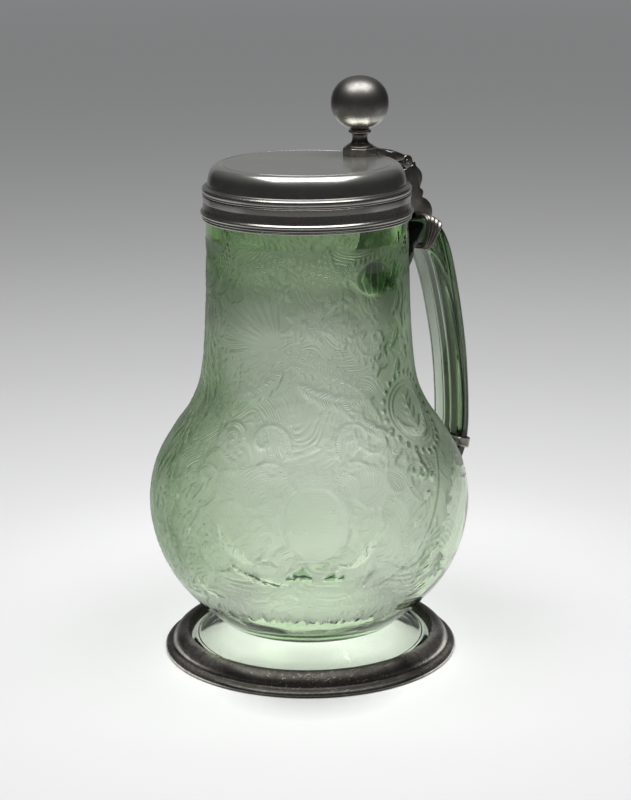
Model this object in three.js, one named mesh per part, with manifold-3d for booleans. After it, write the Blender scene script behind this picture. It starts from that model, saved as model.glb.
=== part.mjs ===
// Covered tankard: a pear-shaped blown-glass vessel on a pewter foot ring, with a ribbed strap
// handle and a hinged pewter lid. Millimetres, +Z up, handle towards +X, resting on Z = 0.
// The vessel's axis stands at X = AXIS_X, so that the origin is at the middle of the whole base.

import * as THREE from 'three';
import { mergeVertices } from 'three/addons/utils/BufferGeometryUtils.js';
import Module from 'manifold-3d';

const wasm = await Module();
wasm.setup();

// Driving sizes
const SIDES = 40;              // facets round the large turned pieces
const SMALL_SIDES = 32;        // round the ball and its stem
const PIN_SIDES = 16;
const KNUCKLE_SIDES = 24;
const GAP = 0.3;               // clearance left between pieces that are seated on each other
const BELLY_R = 67.1;
const HANDLE_REACH = 83.6;     // vessel axis to the outside of the lower handle band
const AXIS_X = (BELLY_R - HANDLE_REACH) / 2;

const VESSEL_FLOOR_Z = 14.2;
const INNER_FLOOR_Z = 20.2;    // the middle of the floor inside, which is pushed up a little
const RIM_Z = 194.2;
const RIM_R = 41.1;
const NECK_WALL = 2.9;
const BASE_WALL = 5.5;

const LID_SEAT_Z = 195.2;      // top of the collar
const LID_TOP_Z = 207.6;
const LID_WALL = 1.8;
const LID_WALL_R = 40.5;
const LID_ROLL_R = 42.7;
const COLLAR_BEAD_R = 43.5;
const COLLAR_FOOT_Z = 185.2;
const COLLAR_BORE_R = 41.9;

const HINGE_X = 49.8;          // from the vessel axis
const HINGE_Z = 203.6;
const KNUCKLE_R = 2.7;
const STRAP_WIDTH = 10;
const MIDDLE_KNUCKLE = 4.4;
const SLOT_WIDTH = 5;
const PIN_R = 1;
const PIN_BORE_R = 1.2;

const THUMB_X = 30;            // the thumbpiece stands a little off the hinge line
const THUMB_Y = 2.5;
const PAD_TOP_Z = 210.8;
const BALL_Z = 229.5;
const BALL_R = 11.8;
const BALL_HALF_HEIGHT = 11.1;

const HANDLE_SECTION_POINTS = 20;
const SECTION_ROUNDNESS = 0.62; // 1 is an ellipse, 0 a rectangle
const RIB_COUNT = 4;
const RIB_HEIGHT = 0.55;

const GLASS = { color: 0x9fb898, roughness: 0.08, metalness: 0, transparent: true, opacity: 0.45 };
const PEWTER = { color: 0x6b6a66, roughness: 0.38, metalness: 1 };
const WORN_PEWTER = { color: 0x575450, roughness: 0.46, metalness: 1 };
const PUTTY = { color: 0xb9b09c, roughness: 0.95, metalness: 0 };

// Solids and meshes

// Merges a geometry by position, drops collapsed triangles and makes its faces point outwards.
function closedSurface(geometry) {
  const bare = geometry.clone();
  for (const name of Object.keys(bare.attributes)) {
    if (name !== 'position') bare.deleteAttribute(name);
  }
  const merged = mergeVertices(bare, 1e-3);
  const source = merged.index.array;
  const kept = [];
  for (let i = 0; i < source.length; i += 3) {
    const [a, b, c] = [source[i], source[i + 1], source[i + 2]];
    if (a !== b && b !== c && a !== c) kept.push(a, b, c);
  }
  const p = merged.attributes.position;
  const corner = (i) => new THREE.Vector3().fromBufferAttribute(p, i);
  let volume = 0;
  for (let i = 0; i < kept.length; i += 3) {
    volume += corner(kept[i]).dot(corner(kept[i + 1]).cross(corner(kept[i + 2])));
  }
  if (volume < 0) {
    for (let i = 0; i < kept.length; i += 3) [kept[i + 1], kept[i + 2]] = [kept[i + 2], kept[i + 1]];
  }
  merged.setIndex(kept);
  return merged;
}

function solid(geometry) {
  const surface = closedSurface(geometry);
  return new wasm.Manifold(new wasm.Mesh({
    numProp: 3,
    vertProperties: new Float32Array(surface.attributes.position.array),
    triVerts: new Uint32Array(surface.index.array),
  }));
}

function geometryOf(manifold) {
  const mesh = manifold.getMesh();
  const geometry = new THREE.BufferGeometry();
  geometry.setAttribute('position', new THREE.BufferAttribute(mesh.vertProperties, 3));
  geometry.setIndex(new THREE.BufferAttribute(mesh.triVerts, 1));
  return geometry;
}

function piece(name, geometry, look) {
  const surface = closedSurface(geometry);
  surface.computeVertexNormals();
  const mesh = new THREE.Mesh(surface, new THREE.MeshStandardMaterial(look));
  mesh.name = name;
  return mesh;
}

// Turns a profile of [radius, height] points about the vertical axis.
function turned(profile, sides = SIDES) {
  const points = profile.map(([r, z]) => new THREE.Vector2(r, z));
  return new THREE.LatheGeometry(points, sides).rotateX(Math.PI / 2);
}

const ring = (profile) => turned([...profile, profile[0]]);

function extruded(outline, depth) {
  const shape = new THREE.Shape(outline.map(([u, v]) => new THREE.Vector2(u, v)));
  return new THREE.ExtrudeGeometry(shape, { depth, bevelEnabled: false });
}

// A plate with an outline of [x, z] points and the given width, centred on the XZ plane.
const plate = (outline, width) => extruded(outline, width)
  .rotateX(Math.PI / 2).translate(0, width / 2, 0);

// A cylinder across the handle's plane, on the hinge's axis.
const crossPin = (radius, length) => new THREE.CylinderGeometry(
  radius, radius, length, KNUCKLE_SIDES).translate(HINGE_X, 0, HINGE_Z);

// Points of a smooth curve through [radius, height] knots.
function smooth(knots, count) {
  const curve = new THREE.CatmullRomCurve3(knots.map(([r, z]) => new THREE.Vector3(r, z, 0)));
  return curve.getSpacedPoints(count).map((p) => [p.x, p.y]);
}

// Points of a quarter ellipse from [r0, z0] to [r1, z1]; it leaves the first point upright.
function quarter([r0, z0], [r1, z1], steps = 5) {
  return Array.from({ length: steps + 1 }, (_, i) => {
    const a = (i / steps) * Math.PI / 2;
    return [r1 + (r0 - r1) * Math.cos(a), z0 + (z1 - z0) * Math.sin(a)];
  });
}

// Moves each point of an open profile sideways, to the left of its direction of travel.
function offset(profile, distanceAt) {
  return profile.map(([r, z], i) => {
    const [r0, z0] = profile[Math.max(i - 1, 0)];
    const [r1, z1] = profile[Math.min(i + 1, profile.length - 1)];
    const length = Math.hypot(r1 - r0, z1 - z0);
    const d = distanceAt(z);
    return [r - (z1 - z0) / length * d, z + (r1 - r0) / length * d];
  });
}

// Glass vessel

const VESSEL_KNOTS = [
  [38.4, VESSEL_FLOOR_Z + 0.6], [48.6, 24], [57.2, 34], [62.7, 44], [66.2, 56], [BELLY_R, 68],
  [64.2, 83], [57.2, 96], [50.4, 106], [45.8, 116], [43.6, 129], [42.5, 146], [42, 165],
  [41.4, 184], [RIM_R, RIM_Z],
];
const vesselOuter = [[36.6, VESSEL_FLOOR_Z], ...smooth(VESSEL_KNOTS, 22)];

function wallAt(z) {
  const low = THREE.MathUtils.clamp((34 - z) / 20, 0, 1);
  return NECK_WALL + (BASE_WALL - NECK_WALL) * low;
}

function vesselGeometry() {
  const inner = offset(smooth(VESSEL_KNOTS, 16), wallAt).filter(([, z]) => z > INNER_FLOOR_Z + 0.8);
  inner[inner.length - 1][1] = RIM_Z;
  const floor = [[0, INNER_FLOOR_Z], [14, INNER_FLOOR_Z - 0.8], [28, INNER_FLOOR_Z - 1.4]];
  return turned([[0, VESSEL_FLOOR_Z], ...vesselOuter, ...inner.reverse(), ...floor.reverse()]);
}

// The outside of the vessel, grown by the gap, which the handle is fused against.
function vesselCutter() {
  const grown = offset(vesselOuter, () => -GAP);
  return turned([[0, VESSEL_FLOOR_Z - GAP], ...grown, [0, RIM_Z]]);
}

// Flared foot, folded at its edge, with the hollow and the pontil scar under it.
const footProfile = [
  [0, 13.9], [36.4, 13.9], [38.6, 12.4], [41.6, 10.6], [46, 8.7], [51, 7], [55.2, 5.7],
  [56.2, 5], [56.2, 3.9], [55, 3.1], [47.4, 4.2], [45.9, 5.3], [41, 7.2], [34, 9],
  [20, 10.2], [9, 10.4], [7, 9.2], [0, 9.2],
];

// Pewter foot ring: lip, ovolo, cavetto and flange, rolled under to the flat it stands on.
const FOOT_RING_R = 62.2;
const footRingProfile = [
  [52.2, 7.2], [52.4, 7.8], [54.1, 8.5], [56, 8.2], [57.4, 7.2], [58.1, 5.6], [58.5, 4.1],
  [59.2, 3.3], [60.7, 3.1], [61.8, 2.5], [FOOT_RING_R, 1.6], [61.7, 0.5], [60.4, 0],
  [53.4, 0], [53.4, 1.1], [57.5, 1.1], [57.6, 3.4], [57.2, 5.6], [56.2, 6.7], [54.3, 7],
];
const footPuttyProfile = [
  [53.8, 1.4], [57.1, 1.4], [57.2, 3.4], [56.9, 5.3], [56.5, 5.3], [56.5, 3.8],
  [55.2, 2.8], [53.8, 2.7],
];

// Rim collar: two fillets, a bead, a plain band, and a lip turned in over the glass rim.
const collarProfile = [
  [42.2, COLLAR_FOOT_Z], [42.8, 185.5], [42.8, 186], [42.4, 186.2], [42.9, 186.5], [42.9, 187],
  [42.7, 187.2], [COLLAR_BEAD_R, 187.6], [COLLAR_BEAD_R, 188.6], [42.8, 189.1], [42.5, 190.2],
  [42.3, 192.6], [42.6, LID_SEAT_Z], [38.4, LID_SEAT_Z], [38.4, 194.5], [COLLAR_BORE_R, 194.5],
  [COLLAR_BORE_R, COLLAR_FOOT_Z],
];

// Lid: flat top with an incised ring, round shoulder, rolled edge, hollow underneath.
const LID_EDGE_Z = LID_SEAT_Z + GAP;
const lidOutside = [
  [42.3, LID_EDGE_Z], [42.5, 196], [42.2, 196.3], [LID_ROLL_R, 196.9], [LID_ROLL_R, 197.9],
  [42, 198.6], [41.1, 198.8], ...quarter([LID_WALL_R, 199], [35.4, LID_TOP_Z], 7),
];
const lidProfile = [
  ...lidOutside, [35, 207.3], [34.5, LID_TOP_Z], [0, LID_TOP_Z], [0, LID_TOP_Z - LID_WALL],
  ...quarter([LID_WALL_R - LID_WALL, 199], [34, LID_TOP_Z - LID_WALL]).reverse(),
  [38.6, LID_EDGE_Z], [42.3, LID_EDGE_Z],
];

function lidGeometry() {
  const top = lidProfile.findIndex(([r]) => r === 0);
  const fromAxis = [...lidProfile.slice(top + 1, -1), ...lidProfile.slice(0, top + 1)];
  return turned(fromAxis);
}

// Grown copies of the lid and the collar, which the hinge's two halves are fitted against.
function lidCutter() {
  const top = LID_TOP_Z + GAP;
  const side = LID_WALL_R + GAP;
  return turned([[0, 190], [LID_ROLL_R + GAP, 190], [LID_ROLL_R + GAP, 198.9],
    [side, 199], ...quarter([side, 199.2], [35.4, top], 7), [0, top]]);
}

function collarCutter() {
  const bead = COLLAR_BEAD_R + GAP;
  return turned([[0, 180], [42.5, 180], [43.1, COLLAR_FOOT_Z - GAP], [43.2, 187], [bead, 187.3],
    [bead, 188.9], [43.1, 189.4], [42.8, 190.4], [42.9, 195.5], [0, 195.5]]);
}

// Handle
// Stations along the strap: centre X and Z, thickness and width. The first and last lie inside
// the vessel's outline, and the strap is cut off there against its wall.
const HANDLE_STATIONS = [
  [37, 166, 34, 22], [42.5, 169, 23, 21], [47, 172.2, 15, 20], [52, 173.7, 12.8, 19.4],
  [57, 173.4, 12.4, 19], [61.8, 170.9, 11.8, 19], [65.8, 165.6, 10.4, 19],
  [69.3, 157.3, 8.8, 19], [72.4, 146.7, 7.6, 19], [75.5, 133, 6.8, 19], [78, 119, 6.2, 19],
  [79.4, 106, 5.8, 19], [80.1, 94, 5.7, 19], [80, 84, 5.8, 19], [78.3, 75.5, 6.3, 19],
  [74.6, 69.5, 7, 19], [68.5, 66.6, 8.4, 19.4], [61, 66, 9.5, 20],
];
const centreLine = new THREE.CatmullRomCurve3(
  HANDLE_STATIONS.map(([x, z]) => new THREE.Vector3(x, 0, z)));

// Thickness and width at a parameter of the centre line, eased between the stations.
function sizeAt(t) {
  const place = t * (HANDLE_STATIONS.length - 1);
  const i = Math.min(Math.floor(place), HANDLE_STATIONS.length - 2);
  const [a, b] = [HANDLE_STATIONS[i], HANDLE_STATIONS[i + 1]];
  const f = place - i;
  return [a[2] + (b[2] - a[2]) * f, a[3] + (b[3] - a[3]) * f];
}

// How strongly the ribs stand out: they fade where the strap joins the vessel.
function ribsAt(t) {
  return THREE.MathUtils.smoothstep(t, 0.2, 0.3) * (1 - THREE.MathUtils.smoothstep(t, 0.86, 0.93));
}

const squared = (value) => Math.sign(value) * Math.abs(value) ** SECTION_ROUNDNESS;

// A closed solid swept along part of the centre line. grow(t) enlarges the section all round.
function strap(from, to, steps, grow, ribbed) {
  const n = HANDLE_SECTION_POINTS;
  const position = [];
  for (let s = 0; s <= steps; s += 1) {
    const t = from + (to - from) * s / steps;
    const centre = centreLine.getPoint(t);
    const along = centreLine.getTangent(t);
    const [thick, wide] = sizeAt(t);
    const extra = grow(t);
    for (let k = 0; k < n; k += 1) {
      const a = (k / n) * 2 * Math.PI;
      const c = squared(Math.cos(a));
      const d = squared(Math.sin(a));
      const y = c * (wide / 2 + extra);
      let out = d * (thick / 2 + extra);
      if (ribbed && d > 0) {
        const wave = Math.cos(c * Math.PI * (RIB_COUNT - 1));
        out += -wave * RIB_HEIGHT * ribsAt(t) * d;
      }
      position.push(centre.x - along.z * out, y, centre.z + along.x * out);
    }
  }
  const firstCap = position.length / 3;
  const ends = [centreLine.getPoint(from), centreLine.getPoint(to)];
  for (const end of ends) position.push(end.x, 0, end.z);
  const index = [];
  for (let s = 0; s < steps; s += 1) {
    for (let k = 0; k < n; k += 1) {
      const [a, b] = [s * n + k, s * n + (k + 1) % n];
      index.push(a, b, b + n, a, b + n, a + n);
    }
  }
  for (let k = 0; k < n; k += 1) {
    const next = (k + 1) % n;
    index.push(firstCap, next, k, firstCap + 1, steps * n + k, steps * n + next);
  }
  const geometry = new THREE.BufferGeometry();
  geometry.setAttribute('position', new THREE.Float32BufferAttribute(position, 3));
  geometry.setIndex(index);
  return geometry;
}

const handleGeometry = () => geometryOf(
  solid(strap(0, 1, 36, () => 0, true)).subtract(solid(vesselCutter())));

// Reeded band round the handle's root, and the plain band round its lower end.
// From and to are fractions of the centre line.
const BAND = { from: 0.222, to: 0.293, wall: 1.5, reeds: 4, reed: 0.35 };
const LOWER_BAND = { from: 0.795, to: 0.826, wall: 1.3 };

function bandGeometry() {
  const { from, to, wall, reeds, reed } = BAND;
  const profile = (t) => wall + reed * Math.cos((t - from) / (to - from) * 2 * Math.PI * reeds);
  const sleeve = solid(strap(from, to, reeds * 4, (t) => profile(t) - reed, false));
  const inside = solid(strap(from - 0.02, to + 0.02, 8, () => GAP + RIB_HEIGHT * 0.5, false));
  return geometryOf(sleeve.subtract(inside));
}

function lowerBandGeometry() {
  const { from, to, wall } = LOWER_BAND;
  const sleeve = solid(strap(from, to, 4, () => wall, false));
  const inside = solid(strap(from - 0.02, to + 0.02, 5, () => GAP + RIB_HEIGHT * 0.8, false));
  return geometryOf(sleeve.subtract(inside));
}

// Hinge

// Scalloped web that stands on the band and carries the two outer knuckles.
const WEB_OUTLINE = [
  [46.2, 199.6], [48.2, 200.5], [51.3, 201.6], [52.95, 201.8], [53.05, 203.6], [54.2, 203.4],
  [54.7, 201.3], [56.4, 200], [57.8, 198.3], [58.4, 196.3], [58, 193.9], [56.8, 191.7],
  [58.2, 191.2], [59, 190], [58.8, 188.4], [58.2, 187.7], [60.6, 186.7], [62.7, 184.8],
  [63.9, 182.3], [64.1, 179.6], [62, 176], [55, 176], [54.5, 181], [48.4, 184], [42, 186.2],
  [42, 190.6], [44.6, 193], [45, 196.4],
];

function bracketGeometry() {
  const knuckles = solid(crossPin(KNUCKLE_R, STRAP_WIDTH));
  const band = solid(strap(BAND.from - 0.008, BAND.to + 0.008, 16, () => BAND.wall + GAP, false));
  const root = solid(strap(0.1, 0.45, 24, () => GAP + RIB_HEIGHT, false));
  return geometryOf(solid(plate(WEB_OUTLINE, STRAP_WIDTH)).add(knuckles)
    .subtract(solid(crossPin(KNUCKLE_R + 0.45, SLOT_WIDTH)))
    .subtract(solid(crossPin(PIN_BORE_R, STRAP_WIDTH + 2)))
    .subtract(solid(collarCutter())).subtract(band).subtract(root));
}

const STRAP_OUTLINE = [
  [30, 210.4], [37.4, 210.1], [42.2, 208.6], [43, 208.9], [48.2, 206.9], [45.9, 203.8], [41, 203.6],
  [36, 202], [30, 204],
];
// The strap seen from above: waisted between the pad and the hinge.
const STRAP_PLAN = [
  [30, -2], [37, -2], [40, -2.6], [42, -4], [43, -5], [50, -5],
  [50, 5], [43, 5], [42, 4.4], [40, 3.8], [37, 4.4], [30, 5],
];
const KNUCKLE_NECK = [
  [44.5, 207], [48.2, 206.9], [50.4, 206], [49.8, 203.6], [47.6, 202.2], [45, 203.7],
];
const PAD_ACROSS_CORNERS = 15.6;

// The leaf's octagonal pad and strap lie on the lid, and its one knuckle is between the web's two.
function leafGeometry() {
  const height = PAD_TOP_Z - LID_TOP_Z + 1;
  const pad = new THREE.CylinderGeometry(
    PAD_ACROSS_CORNERS / 2 - 0.5, PAD_ACROSS_CORNERS / 2, height, 8)
    .rotateY(Math.PI / 8).rotateX(Math.PI / 2).translate(THUMB_X, THUMB_Y, PAD_TOP_Z - height / 2);
  const knuckle = solid(crossPin(KNUCKLE_R, MIDDLE_KNUCKLE))
    .add(solid(plate(KNUCKLE_NECK, MIDDLE_KNUCKLE)));
  const waist = extruded(STRAP_PLAN, 20).translate(0, 0, LID_SEAT_Z);
  const strapped = solid(plate(STRAP_OUTLINE, STRAP_WIDTH)).intersect(solid(waist));
  return geometryOf(strapped.add(solid(pad)).add(knuckle)
    .subtract(solid(crossPin(PIN_BORE_R, STRAP_WIDTH + 2))).subtract(solid(lidCutter())));
}

// Pin with both ends peened over to small heads outside the knuckles.
const PIN_HEAD_R = 1.7;
const PIN_HEAD = 0.6;
const PIN_REACH = STRAP_WIDTH / 2 + 0.15;
const pinProfile = [
  [0, -PIN_REACH - PIN_HEAD], [PIN_HEAD_R * 0.7, -PIN_REACH - PIN_HEAD], [PIN_HEAD_R, -PIN_REACH],
  [PIN_R, -PIN_REACH], [PIN_R, PIN_REACH], [PIN_HEAD_R, PIN_REACH],
  [PIN_HEAD_R * 0.7, PIN_REACH + PIN_HEAD], [0, PIN_REACH + PIN_HEAD],
];

// Thumbpiece: a waisted stem with a flared foot and a fillet, and a hollow ball on top.
const stemProfile = [
  [0, PAD_TOP_Z + GAP], [5.6, PAD_TOP_Z + GAP], [5.5, 211.8], [4.2, 212.6], [3.2, 213.9],
  [2.9, 215.2], [3.2, 216.5], [4.5, 217.1], [4.6, 217.8], [0, 217.8],
];

function ballGeometry() {
  const rows = 14;
  const profile = Array.from({ length: rows + 1 }, (_, i) => {
    const a = -Math.PI / 2 + Math.PI * i / rows;
    return [i % rows ? BALL_R * Math.cos(a) : 0, BALL_Z + BALL_HALF_HEIGHT * Math.sin(a)];
  });
  return turned(profile, SMALL_SIDES);
}

// Assembly

const lidParts = new THREE.Group();
lidParts.add(
  piece('lid', lidGeometry(), PEWTER),
  piece('lid_hinge_leaf', leafGeometry(), WORN_PEWTER),
);
const thumbpiece = new THREE.Group();
thumbpiece.add(
  piece('thumbpiece_stem', turned(stemProfile, SMALL_SIDES), WORN_PEWTER),
  piece('thumbpiece_ball', ballGeometry(), PEWTER),
);
thumbpiece.position.set(THUMB_X, THUMB_Y, 0);
lidParts.add(thumbpiece);

const pin = piece('hinge_pin', turned(pinProfile, PIN_SIDES), WORN_PEWTER);
pin.rotation.x = Math.PI / 2;
pin.position.set(HINGE_X, 0, HINGE_Z);

const tankard = new THREE.Group();
tankard.add(
  piece('glass_body', vesselGeometry(), GLASS),
  piece('glass_foot', turned(footProfile), GLASS),
  piece('glass_handle', handleGeometry(), GLASS),
  piece('foot_ring', ring(footRingProfile), WORN_PEWTER),
  piece('foot_ring_putty', ring(footPuttyProfile), PUTTY),
  piece('lip_collar', ring(collarProfile), PEWTER),
  piece('handle_bracket', bracketGeometry(), WORN_PEWTER),
  piece('handle_band', bandGeometry(), WORN_PEWTER),
  piece('lower_handle_band', lowerBandGeometry(), WORN_PEWTER),
  pin,
  lidParts,
);
tankard.position.x = AXIS_X;
tankard.updateMatrixWorld(true);

export default tankard;
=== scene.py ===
"""Looks of the covered tankard: engraved green glass in worn pewter mounts.

Metres, +Z up, the handle towards +X. Shapes are written in millimetres and scaled once.
"""
import math

import bpy
import numpy as np
from mathutils import Matrix, Vector

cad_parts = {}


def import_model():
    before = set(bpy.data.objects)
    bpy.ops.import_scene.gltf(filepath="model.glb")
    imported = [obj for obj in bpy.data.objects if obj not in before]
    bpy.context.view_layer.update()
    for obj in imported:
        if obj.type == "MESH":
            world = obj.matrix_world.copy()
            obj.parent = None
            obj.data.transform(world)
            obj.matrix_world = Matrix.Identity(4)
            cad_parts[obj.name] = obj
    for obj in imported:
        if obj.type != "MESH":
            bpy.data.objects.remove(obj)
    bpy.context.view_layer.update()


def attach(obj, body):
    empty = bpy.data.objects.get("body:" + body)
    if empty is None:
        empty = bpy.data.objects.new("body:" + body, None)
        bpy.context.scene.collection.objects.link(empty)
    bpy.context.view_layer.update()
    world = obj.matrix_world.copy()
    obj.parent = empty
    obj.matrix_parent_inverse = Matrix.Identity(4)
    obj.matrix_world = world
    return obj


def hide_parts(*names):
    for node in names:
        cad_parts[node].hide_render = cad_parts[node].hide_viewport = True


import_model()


MM = 0.001
AXIS_X = -8.25                 # the vessel's own axis
VIEW_TURN = math.radians(38)   # how far the handle points back from the picture's right side
FRONT = math.radians(232)      # azimuth of the camera, seen from the vessel's axis


# Curves

def catmull(points, t):
    """Centripetal curve through the points at parameters t from 0 to 1."""
    points = np.asarray(points, float)
    spans = len(points) - 1
    place = np.clip(np.atleast_1d(np.asarray(t, float)), 0, 1) * spans
    i = np.minimum(place.astype(int), spans - 1)
    w = (place - i)[:, None]
    ext = np.vstack([2 * points[0] - points[1], points, 2 * points[-1] - points[-2]])
    p0, p1, p2, p3 = (ext[i + k] for k in range(4))
    d0, d1, d2 = (np.maximum(np.sum((a - b) ** 2, axis=1) ** 0.25, 1e-4)[:, None]
                  for a, b in ((p0, p1), (p1, p2), (p2, p3)))
    m1 = ((p1 - p0) / d0 - (p2 - p0) / (d0 + d1) + (p2 - p1) / d1) * d1
    m2 = ((p2 - p1) / d1 - (p3 - p1) / (d1 + d2) + (p3 - p2) / d2) * d1
    return (p1 + m1 * w + (3 * (p2 - p1) - 2 * m1 - m2) * w ** 2
            + (2 * (p1 - p2) + m1 + m2) * w ** 3)


def lengths(points):
    steps = np.linalg.norm(np.diff(points, axis=0), axis=1)
    return np.concatenate([[0], np.cumsum(steps)])


def even(points, count):
    """The polyline resampled to evenly spaced points."""
    s = lengths(points)
    at = np.linspace(0, s[-1], count)
    return np.stack([np.interp(at, s, column) for column in points.T], axis=1)


def rounded(points, cut=0.4, steps=4, closed=False):
    """The polyline with each corner replaced by a short curve."""
    p = np.asarray(points, float)
    n = len(p)
    out = [] if closed else [p[0]]
    for i in range(n) if closed else range(1, n - 1):
        a, b, c = p[i - 1], p[i], p[(i + 1) % n]
        la, lc = np.linalg.norm(a - b), np.linalg.norm(c - b)
        start = b + (a - b) / la * min(cut, la / 2)
        end = b + (c - b) / lc * min(cut, lc / 2)
        for w in np.linspace(0, 1, steps + 1):
            out.append((1 - w) ** 2 * start + 2 * w * (1 - w) * b + w * w * end)
    if not closed:
        out.append(p[-1])
    out = np.array(out)
    keep = np.ones(len(out), bool)
    keep[1:] = np.linalg.norm(np.diff(out, axis=0), axis=1) > 1e-4
    return out[keep]


def left_normals(points, closed=False):
    """Unit normals on the left of the direction of travel."""
    if closed:
        d = np.roll(points, -1, axis=0) - np.roll(points, 1, axis=0)
    else:
        d = np.vstack([points[1:], points[-1:]]) - np.vstack([points[:1], points[:-1]])
    n = np.stack([-d[:, 1], d[:, 0]], axis=1)
    return n / np.maximum(np.linalg.norm(n, axis=1), 1e-9)[:, None]


def quarter(start, end, steps):
    """A quarter of an ellipse from start to end, upright at its start."""
    (x0, z0), (x1, z1) = start, end
    return [(x1 + (x0 - x1) * math.cos(v), z0 + (z1 - z0) * math.sin(v))
            for v in np.linspace(0, math.pi / 2, steps + 1)]


def smoothstep(x, lo, hi):
    u = np.clip((np.asarray(x, float) - lo) / (hi - lo), 0, 1)
    return u * u * (3 - 2 * u)


def between(x, rise, fall):
    """1 between two soft edges and 0 outside them; each edge is its start and end."""
    return smoothstep(x, *rise) * (1 - smoothstep(x, *fall))


def bell(x, middle, width):
    return np.exp(-((x - middle) / width) ** 2)


def powered(v, power):
    """A power that keeps the sign."""
    return np.sign(v) * np.abs(v) ** power


def from_front(azimuth):
    """Degrees round from the front, -180 to 180."""
    return np.degrees((azimuth - FRONT + math.pi) % (2 * math.pi) - math.pi)


def waves(count, seed, lowest, highest):
    """A smooth seeded function of azimuth and height, about -1 to 1."""
    r = np.random.default_rng(seed)
    turns = r.integers(lowest, highest + 1, count)
    rate = r.uniform(-0.12, 0.12, count)
    phase = r.uniform(0, 2 * math.pi, count)
    size = r.uniform(0.4, 1, count) / math.sqrt(count)

    def at(azimuth, z):
        return sum(s * np.sin(n * azimuth + k * z + p)
                   for s, n, k, p in zip(size, turns, rate, phase))
    return at


# Meshes

def standing(name, data):
    """A new object in the scene."""
    obj = bpy.data.objects.new(name, data)
    bpy.context.scene.collection.objects.link(obj)
    return obj


def mesh_object(name, co, faces, material):
    """faces is a list of index arrays, each of shape (count, corners). co is in millimetres."""
    mesh = bpy.data.meshes.new(name)
    mesh.vertices.add(len(co))
    mesh.vertices.foreach_set("co", (np.asarray(co, float) * MM).ravel())
    faces = [np.asarray(f, np.int32) for f in faces]
    corners = np.concatenate([f.ravel() for f in faces])
    totals = np.concatenate([np.full(len(f), f.shape[1], np.int32) for f in faces])
    mesh.loops.add(len(corners))
    mesh.loops.foreach_set("vertex_index", corners)
    mesh.polygons.add(len(totals))
    mesh.polygons.foreach_set("loop_start", np.concatenate([[0], np.cumsum(totals)[:-1]]))
    mesh.polygons.foreach_set("loop_total", totals)
    mesh.polygons.foreach_set("use_smooth", np.full(len(totals), True))
    mesh.update(calc_edges=True)
    mesh.validate()
    if material:
        mesh.materials.append(material)
    return standing(name, mesh)


def read(items, name, size, kind=np.float32):
    values = np.empty(len(items) * size, kind)
    items.foreach_get(name, values)
    return values.reshape(-1, size)


def places(obj):
    """The vertices' places in millimetres."""
    return read(obj.data.vertices, "co", 3).astype(float) / MM


def attribute(obj, name, values):
    """Sets a number on every vertex, or one number on all."""
    layers = obj.data.attributes
    layer = layers.get(name) or layers.new(name, "FLOAT", "POINT")
    whole = np.zeros(len(obj.data.vertices), np.float32)
    whole += np.asarray(values, np.float32).ravel()
    layer.data.foreach_set("value", whole)


def outward(obj):
    """Flips a closed mesh whose faces point inwards."""
    mesh = obj.data
    mesh.calc_loop_triangles()
    corners = read(mesh.loop_triangles, "vertices", 3, np.int32)
    a, b, c = places(obj)[corners].transpose(1, 0, 2)
    if np.sum(a * np.cross(b, c)) < 0:
        mesh.flip_normals()


def skin(name, grid, material, tips=(None, None), flat=False, wrap=False):
    """A mesh over rows of points in millimetres, each row closed round.

    tips are the points where the first and the last row come together. flat closes both rows
    with one face each, and wrap joins the last row to the first.
    """
    rows, cols = grid.shape[:2]
    co = grid.reshape(-1, 3)
    i = np.arange(rows if wrap else rows - 1)[:, None]
    j = np.arange(cols)
    after = (j + 1) % cols
    above = (i + 1) % rows * cols
    faces = [np.stack([i * cols + j, i * cols + after, above + after, above + j], axis=-1)
             .reshape(-1, 4)]
    last = (rows - 1) * cols
    if flat:
        faces += [j[None, ::-1], (j + last)[None, :]]
    for tip, first, second in ((tips[0], after, j), (tips[1], last + j, last + after)):
        if tip is not None:
            faces.append(np.stack([np.full(cols, len(co)), first, second], axis=1))
            co = np.vstack([co, tip])
    obj = mesh_object(name, co, faces, material)
    outward(obj)
    return obj


def all_round(rows, segments):
    """Radius and height of (radius, height) rows, repeated round an axis."""
    return np.repeat(np.asarray(rows, float).T[:, :, None], segments, axis=2)


def round_axis(azimuth, r, z, centre=(AXIS_X, 0, 0)):
    return np.stack([r * np.cos(azimuth), r * np.sin(azimuth), z], axis=-1) + np.array(centre)


def turned(name, profile, material, segments, closed=False, centre=(AXIS_X, 0, 0), shape=None):
    """A profile of (radius, height) turned about a vertical axis.

    An end at radius 0 is a pole. shape(azimuth, r, z) may return changed r and z.
    """
    profile = np.asarray(profile, float)
    on_axis = [not closed and profile[end, 0] < 1e-6 for end in (0, -1)]
    r, z = all_round(profile[int(on_axis[0]):len(profile) - int(on_axis[1])], segments)
    azimuth = np.arange(segments)[None, :] * 2 * math.pi / segments
    if shape:
        r, z = shape(azimuth, r, z)
    tips = [np.array([0, 0, profile[end, 1]]) + np.array(centre) if pole else None
            for end, pole in zip((0, -1), on_axis)]
    return skin(name, round_axis(azimuth, r, z, centre), material, tips, wrap=closed)


def boolean(obj, other, operation):
    """Applies a boolean of other to obj and deletes other."""
    mod = obj.modifiers.new("cut", "BOOLEAN")
    mod.operation = operation
    mod.solver = "EXACT"
    mod.object = other
    graph = bpy.context.evaluated_depsgraph_get()
    mesh = bpy.data.meshes.new_from_object(obj.evaluated_get(graph))
    obj.modifiers.clear()
    obj.data = mesh
    bpy.data.objects.remove(other)


def crease(obj, degrees):
    obj.data.polygons.foreach_set("use_smooth", np.full(len(obj.data.polygons), True))
    obj.data.set_sharp_from_angle(angle=math.radians(degrees))


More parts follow.
